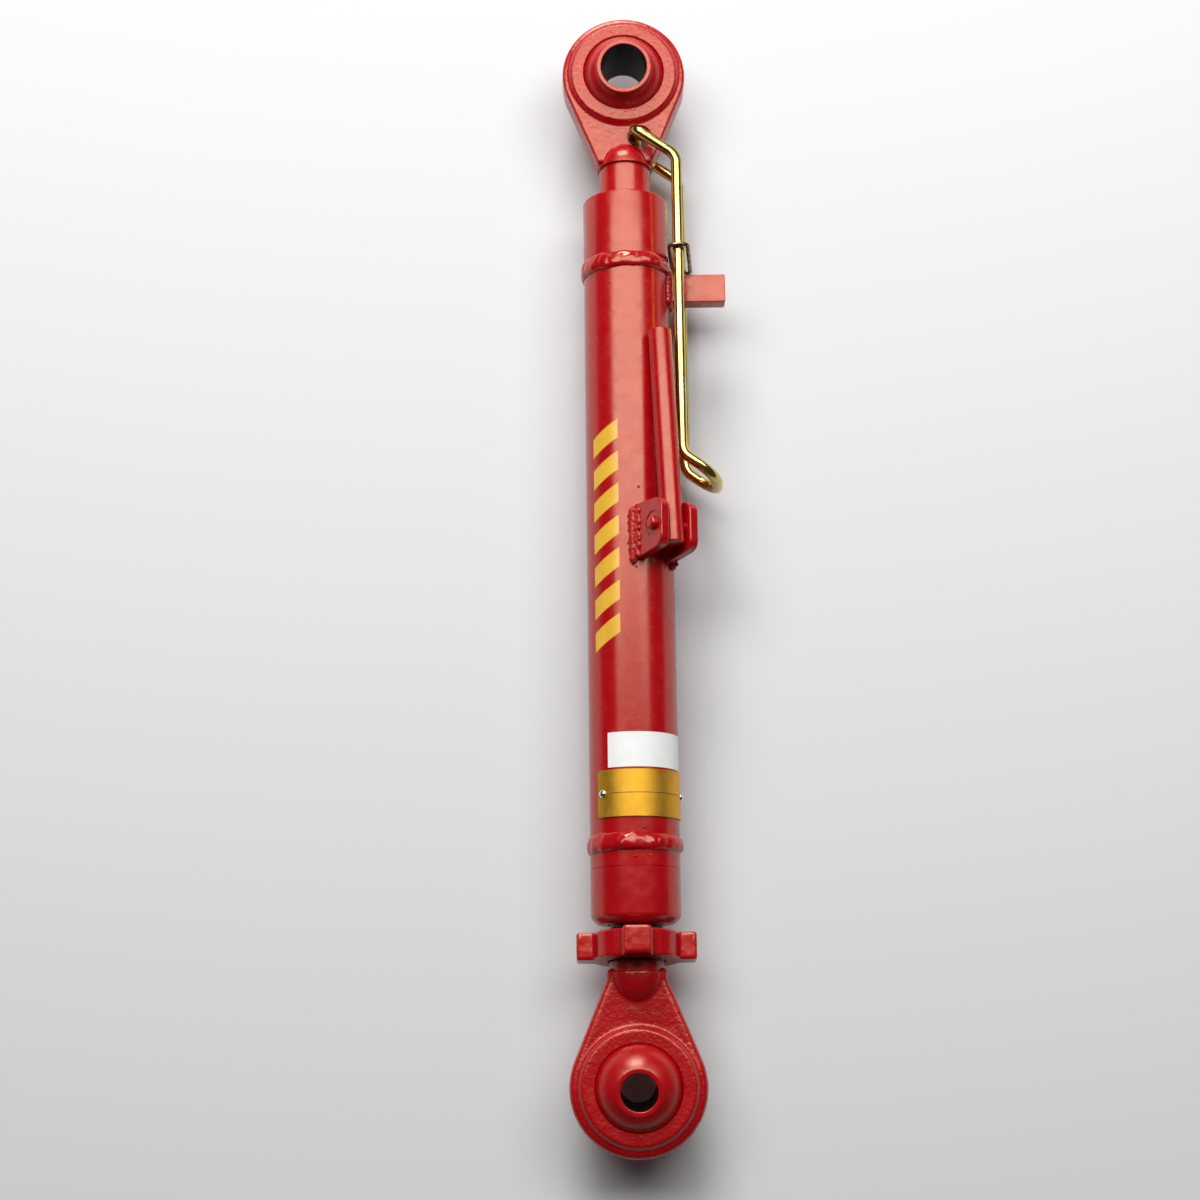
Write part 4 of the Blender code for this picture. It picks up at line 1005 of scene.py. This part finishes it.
def make_bail(looks):
    """The wire bail, leaning in its hole, and the ring round its legs."""
    leg = BAIL_LEG_SPACING / 2
    pivot = bail_pivot()
    frame = LINK_FRAME @ Matrix.Translation((*pivot, 0.0)) @ Matrix.Rotation(-BAIL_LEAN, 4, 'Y')
    half_path = [(*pivot, BAIL_TIP_GAP / 2), (*pivot, leg), (BAIL_LEG_SIDE, -BAIL_UPPER_BEND_DISTANCE, leg),
                 (BAIL_LEG_SIDE, -BAIL_LOWER_BEND_DISTANCE, leg), (BAIL_END_SIDE, -BAIL_END_DISTANCE, leg)]
    half_radii = [0.0, BAIL_TIP_RADIUS, BAIL_BEND_RADIUS, BAIL_BEND_RADIUS, BAIL_LOOP_RADIUS]
    corners = half_path + [(x, y, -z) for x, y, z in reversed(half_path)]
    tip = Vector((*pivot, 0.0))
    points = [frame @ (point - tip) for point in rounded_path(corners, half_radii + half_radii[::-1], 14)]
    bent_wire("bail_wire", points, BAIL_WIRE_RADIUS, False, "bail", looks["zinc"],
              ("locking_bail",))
    half_x = RING_INNER_WIDTH / 2 + RING_WIRE_RADIUS
    half_z = BAIL_LEG_SPACING / 2 + BAIL_WIRE_RADIUS + RING_WIRE_RADIUS + CLEARANCE
    corners = [(-half_x, 0.0, -half_z), (half_x, 0.0, -half_z), (half_x, 0.0, half_z), (-half_x, 0.0, half_z)]
    place = Matrix.Translation((BAIL_LEG_SIDE + CLEARANCE - pivot[0], -RING_DISTANCE - pivot[1], 0.0))
    ring_frame = frame @ place
    points = [ring_frame @ point for point in rounded_path(corners, [RING_CORNER_RADIUS] * 4, 8, closed=True)]
    bent_wire("keeper_wire", points, RING_WIRE_RADIUS, True, "keeper", looks["bronze"],
              ("keeper_ring",))


def make_films(looks):
    """The gilt plate with its rivets, the blank label and the row of slanted bars."""
    half = PLATE_HEIGHT / 2
    start, end = PLATE_MIDDLE - half, PLATE_MIDDLE + half
    columns = sheet_columns(PLATE_START_ANGLE, PLATE_END_ANGLE, start, end, PLATE_CORNER_RADIUS)
    sheet = wrapped_sheet(columns, CLEARANCE, PLATE_THICKNESS)
    add_piece("gilt_sheet", sheet, looks["gilt"], "barrel", ("rating_plate",), 30.0)
    rivets = (("left", PLATE_START_ANGLE + RIVET_ANGLE_INSET), ("right", PLATE_END_ANGLE - RIVET_ANGLE_INSET))
    seat = TUBE_RADIUS + CLEARANCE + PLATE_THICKNESS
    turn = quarter_turn(ARC_STEPS)
    dome = [(RIVET_RADIUS * sine, CLEARANCE + RIVET_HEIGHT * cosine) for sine, cosine in turn]
    dome += [(RIVET_RADIUS, -CLEARANCE), (0.0, -CLEARANCE)]
    for word, angle in rivets:
        place = along_link(PLATE_MIDDLE) @ Matrix.Rotation(angle, 4, 'Y')
        mesh = lathe(dome, place @ Matrix.Translation((0.0, 0.0, seat)), SMALL_STEPS)
        add_piece("rivet_head_" + word, mesh, looks["rivet"], "barrel",
                  ("plate_rivet_" + word,))
    columns = []
    for step in range(SHEET_STEPS + 1):
        share = PLATE_LINE_MARGIN + (1 - 2 * PLATE_LINE_MARGIN) * step / SHEET_STEPS
        angle = PLATE_START_ANGLE + (PLATE_END_ANGLE - PLATE_START_ANGLE) * share
        columns.append((angle, PLATE_MIDDLE - PLATE_LINE_WIDTH / 2, PLATE_MIDDLE + PLATE_LINE_WIDTH / 2))
    line = wrapped_sheet(columns, CLEARANCE + PLATE_THICKNESS, FILM_THICKNESS / 2)
    add_piece("plate_line", line, looks["ink"], "barrel", (), 30.0)
    columns = sheet_columns(LABEL_START_ANGLE, LABEL_END_ANGLE, LABEL_START, LABEL_END, LABEL_CORNER_RADIUS)
    label = wrapped_sheet(columns, 0.0, LABEL_THICKNESS)
    add_piece("blank_label", label, looks["label"], "barrel", (), 30.0)
    for bar in range(BAR_COUNT):
        start = BARS_START + bar * BAR_PITCH
        columns = []
        for step in range(17):
            share = step / 16
            shift = BAR_SLANT * (1 - share)
            angle = BARS_START_ANGLE + (BARS_END_ANGLE - BARS_START_ANGLE) * share
            columns.append((angle, start + shift, start + shift + BAR_LENGTH))
        film = wrapped_sheet(columns, 0.0, FILM_THICKNESS)
        add_piece(f"yellow_bar_{bar + 1}", film, looks["film"], "barrel", (), 30.0)


def make_looks():
    looks = {
        "enamel": enamel("red_enamel_gloss", 0.25, 0.00001, 0.0000015),
        "ball": enamel("red_enamel_ball", 0.29, 0.00001, 0.0000015),
        "forging": enamel("red_enamel_forging", 0.28, 0.00003, 0.000012, hammered=0.00016),
        "cast": enamel("red_enamel_cast", 0.25, 0.00008, 0.000005),
        "nut": enamel("red_enamel_nut", 0.20, 0.00008, 0.000005),
        "weld": enamel("red_enamel_weld", 0.22, 0.00003, 0.000003),
        "crust": enamel("red_enamel_crust", 0.42, 0.00003, 0.00001),
        "thread": enamel("red_enamel_thread", 0.3, 0.00003, 0.000004,
                         colour=(0.16, 0.006, 0.008), deep=(0.05, 0.004, 0.004)),
        # The bail wire's darker patches are partly the plating's own uneven tone and partly painted
        # reflection of dark surroundings
        "zinc": plated_metal("yellow_zinc_wire", (0.82, 0.64, 0.19), (0.46, 0.35, 0.12), 0.19, 900.0, 24.0),
        "bronze": plated_metal("bronze_zinc_wire", (0.30, 0.22, 0.13), (0.12, 0.08, 0.05), 0.3, 900.0, 200.0),
        "gilt": plated_metal("gilt_sheet_metal", (0.80, 0.42, 0.04), (0.72, 0.38, 0.035), 0.48, 700.0, 90.0,
                             drawn=0.08, uneven=0.3),
        "rivet": plated_metal("rivet_metal", (0.85, 0.85, 0.84), (0.6, 0.6, 0.6), 0.22, 700.0, 500.0),
        # The near-black, weakly reflecting bore skin is painted shade of the deep ball bores
        "bore": mottled("painted_shade_bore", (0.006, 0.003, 0.003), 0.45, 250.0,
                        (0.004, 0.002, 0.002), (0.010, 0.005, 0.005), 1.2),
        "ink": mottled("dark_ink", (0.05, 0.03, 0.01), 0.5, 400.0, (0.05, 0.03, 0.01), (0.10, 0.06, 0.02)),
        "label": mottled("white_paper", (0.86, 0.86, 0.85), 0.5, 140.0,
                         (0.82, 0.82, 0.81), (0.88, 0.88, 0.87)),
        "film": mottled("yellow_vinyl", (0.75, 0.42, 0.03), 0.3, 110.0,
                        (0.72, 0.38, 0.03), (0.80, 0.46, 0.04)),
    }
    for name, scale, detail in (("label", 1500.0, 4.0), ("film", 900.0, 3.0)):
        grain = add_noise(looks[name], scale, detail)
        set_socket(looks[name], "Normal", bump(looks[name], grain, 0.00001, 0.4))
    return looks


def make_camera():
    """Looks down on the lying link from beyond its lower end, at the photograph's angle."""
    data = bpy.data.cameras.new("photo_camera")
    data.sensor_width = SENSOR_WIDTH
    data.lens = SENSOR_WIDTH * FOCAL_PIXELS / IMAGE_PIXELS
    data.clip_start = 0.01
    data.clip_end = 20.0
    camera = new_object("photo_camera", data)
    table = Matrix.Rotation(-LINK_TURN, 4, 'Z') @ Matrix.Translation((-LINK_OFFSET, 0.0, 0.0))
    place = Matrix.Translation((0.0, CAMERA_ALONG, CAMERA_HEIGHT)) @ Matrix.Rotation(CAMERA_TILT, 4, 'X')
    camera.matrix_world = LOWER_PLACE @ table @ place
    bpy.context.scene.camera = camera


def area_light(name, size, place, target, power):
    data = bpy.data.lights.new(name, 'AREA')
    data.shape = 'RECTANGLE'
    data.size, data.size_y = size
    data.energy = power
    light = new_object(name, data)
    light.location = place
    light.rotation_euler = (Vector(target) - Vector(place)).to_track_quat('-Z', 'Y').to_euler()


def make_lights():
    """A soft panel overhead and one farther off beyond the upper end, in a dim room."""
    area_light("panel", PANEL_SIZE, PANEL_PLACE, PANEL_TARGET, PANEL_POWER)
    area_light("wall", WALL_SIZE, WALL_PLACE, (0.0, 0.0, 0.0), WALL_POWER)
    world = bpy.data.worlds.new("studio")
    world.use_nodes = True
    background = world.node_tree.nodes["Background"]
    background.inputs["Color"].default_value = (1.0, 1.0, 1.0, 1.0)
    background.inputs["Strength"].default_value = ROOM_STRENGTH
    bpy.context.scene.world = world


def make_floor():
    corners = [(x * FLOOR_REACH, y * FLOOR_REACH, 0.0) for x, y in ((-1, -1), (1, -1), (1, 1), (-1, 1))]
    mesh = make_mesh(corners, [(0, 1, 2, 3)])
    floor = new_object("floor", mesh)
    mesh.materials.append(shader_material("floor", (0.665, 0.668, 0.672), 0.8))


def dress_solids(nodes, looks):
    """The lever's ears keep their solids and take the paint."""
    for name in ("lever_ear_left", "lever_ear_right"):
        nodes[name].data.materials.clear()
        nodes[name].data.materials.append(looks["cast"])


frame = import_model()
make_camera()
make_lights()
make_floor()
looks = make_looks()
dress_solids(frame["nodes"], looks)
lower_frame = LOWER_PLACE @ Matrix.Rotation(math.pi, 4, 'Z')
lean = Matrix.Rotation(BALL_LEAN, 4, 'X')
make_eye("upper_eye", LINK_FRAME, UPPER_EYE_RADIUS, (UPPER_NOSE_RADIUS, UPPER_NOSE_LENGTH, True),
         UPPER_EYE_TO_BARREL, "upper_end", looks, bail_hole=True)
make_eye("lower_eye", lower_frame, LOWER_EYE_RADIUS, (LOWER_NOSE_RADIUS, LOWER_NOSE_LENGTH, False),
         LOWER_EYE_TO_BARREL, "lower_end", looks, shoulder=(LOWER_SHOULDER_HALF, LOWER_SHOULDER_END))
make_ball("upper_ball", UPPER_BALL_WIDTH, UPPER_BORE_DIAMETER, UPPER_COLLAR_DIAMETER / 2, LINK_FRAME @ lean,
          "upper_joint_ball", looks)
lower_face_radius = math.sqrt(BALL_RADIUS ** 2 - (LOWER_BALL_WIDTH / 2) ** 2)
make_ball("lower_ball", LOWER_BALL_WIDTH, LOWER_BORE_DIAMETER, lower_face_radius, LOWER_PLACE @ lean,
          "lower_joint_ball", looks)
make_barrel(looks)
weld_bead("upper_weld_bead", UPPER_WELD_DISTANCE, UPPER_BEAD_LUMPS, 1.0, looks)
weld_bead("lower_weld_bead", LOWER_WELD_DISTANCE, LOWER_BEAD_LUMPS, 4.0, looks)
make_foot_welds(looks)
make_lug(looks)
make_spatter(looks)
make_lever(looks)
make_lock_nut(looks)
make_bail(looks)
make_films(looks)
bpy.context.scene.view_settings.view_transform = 'Standard'
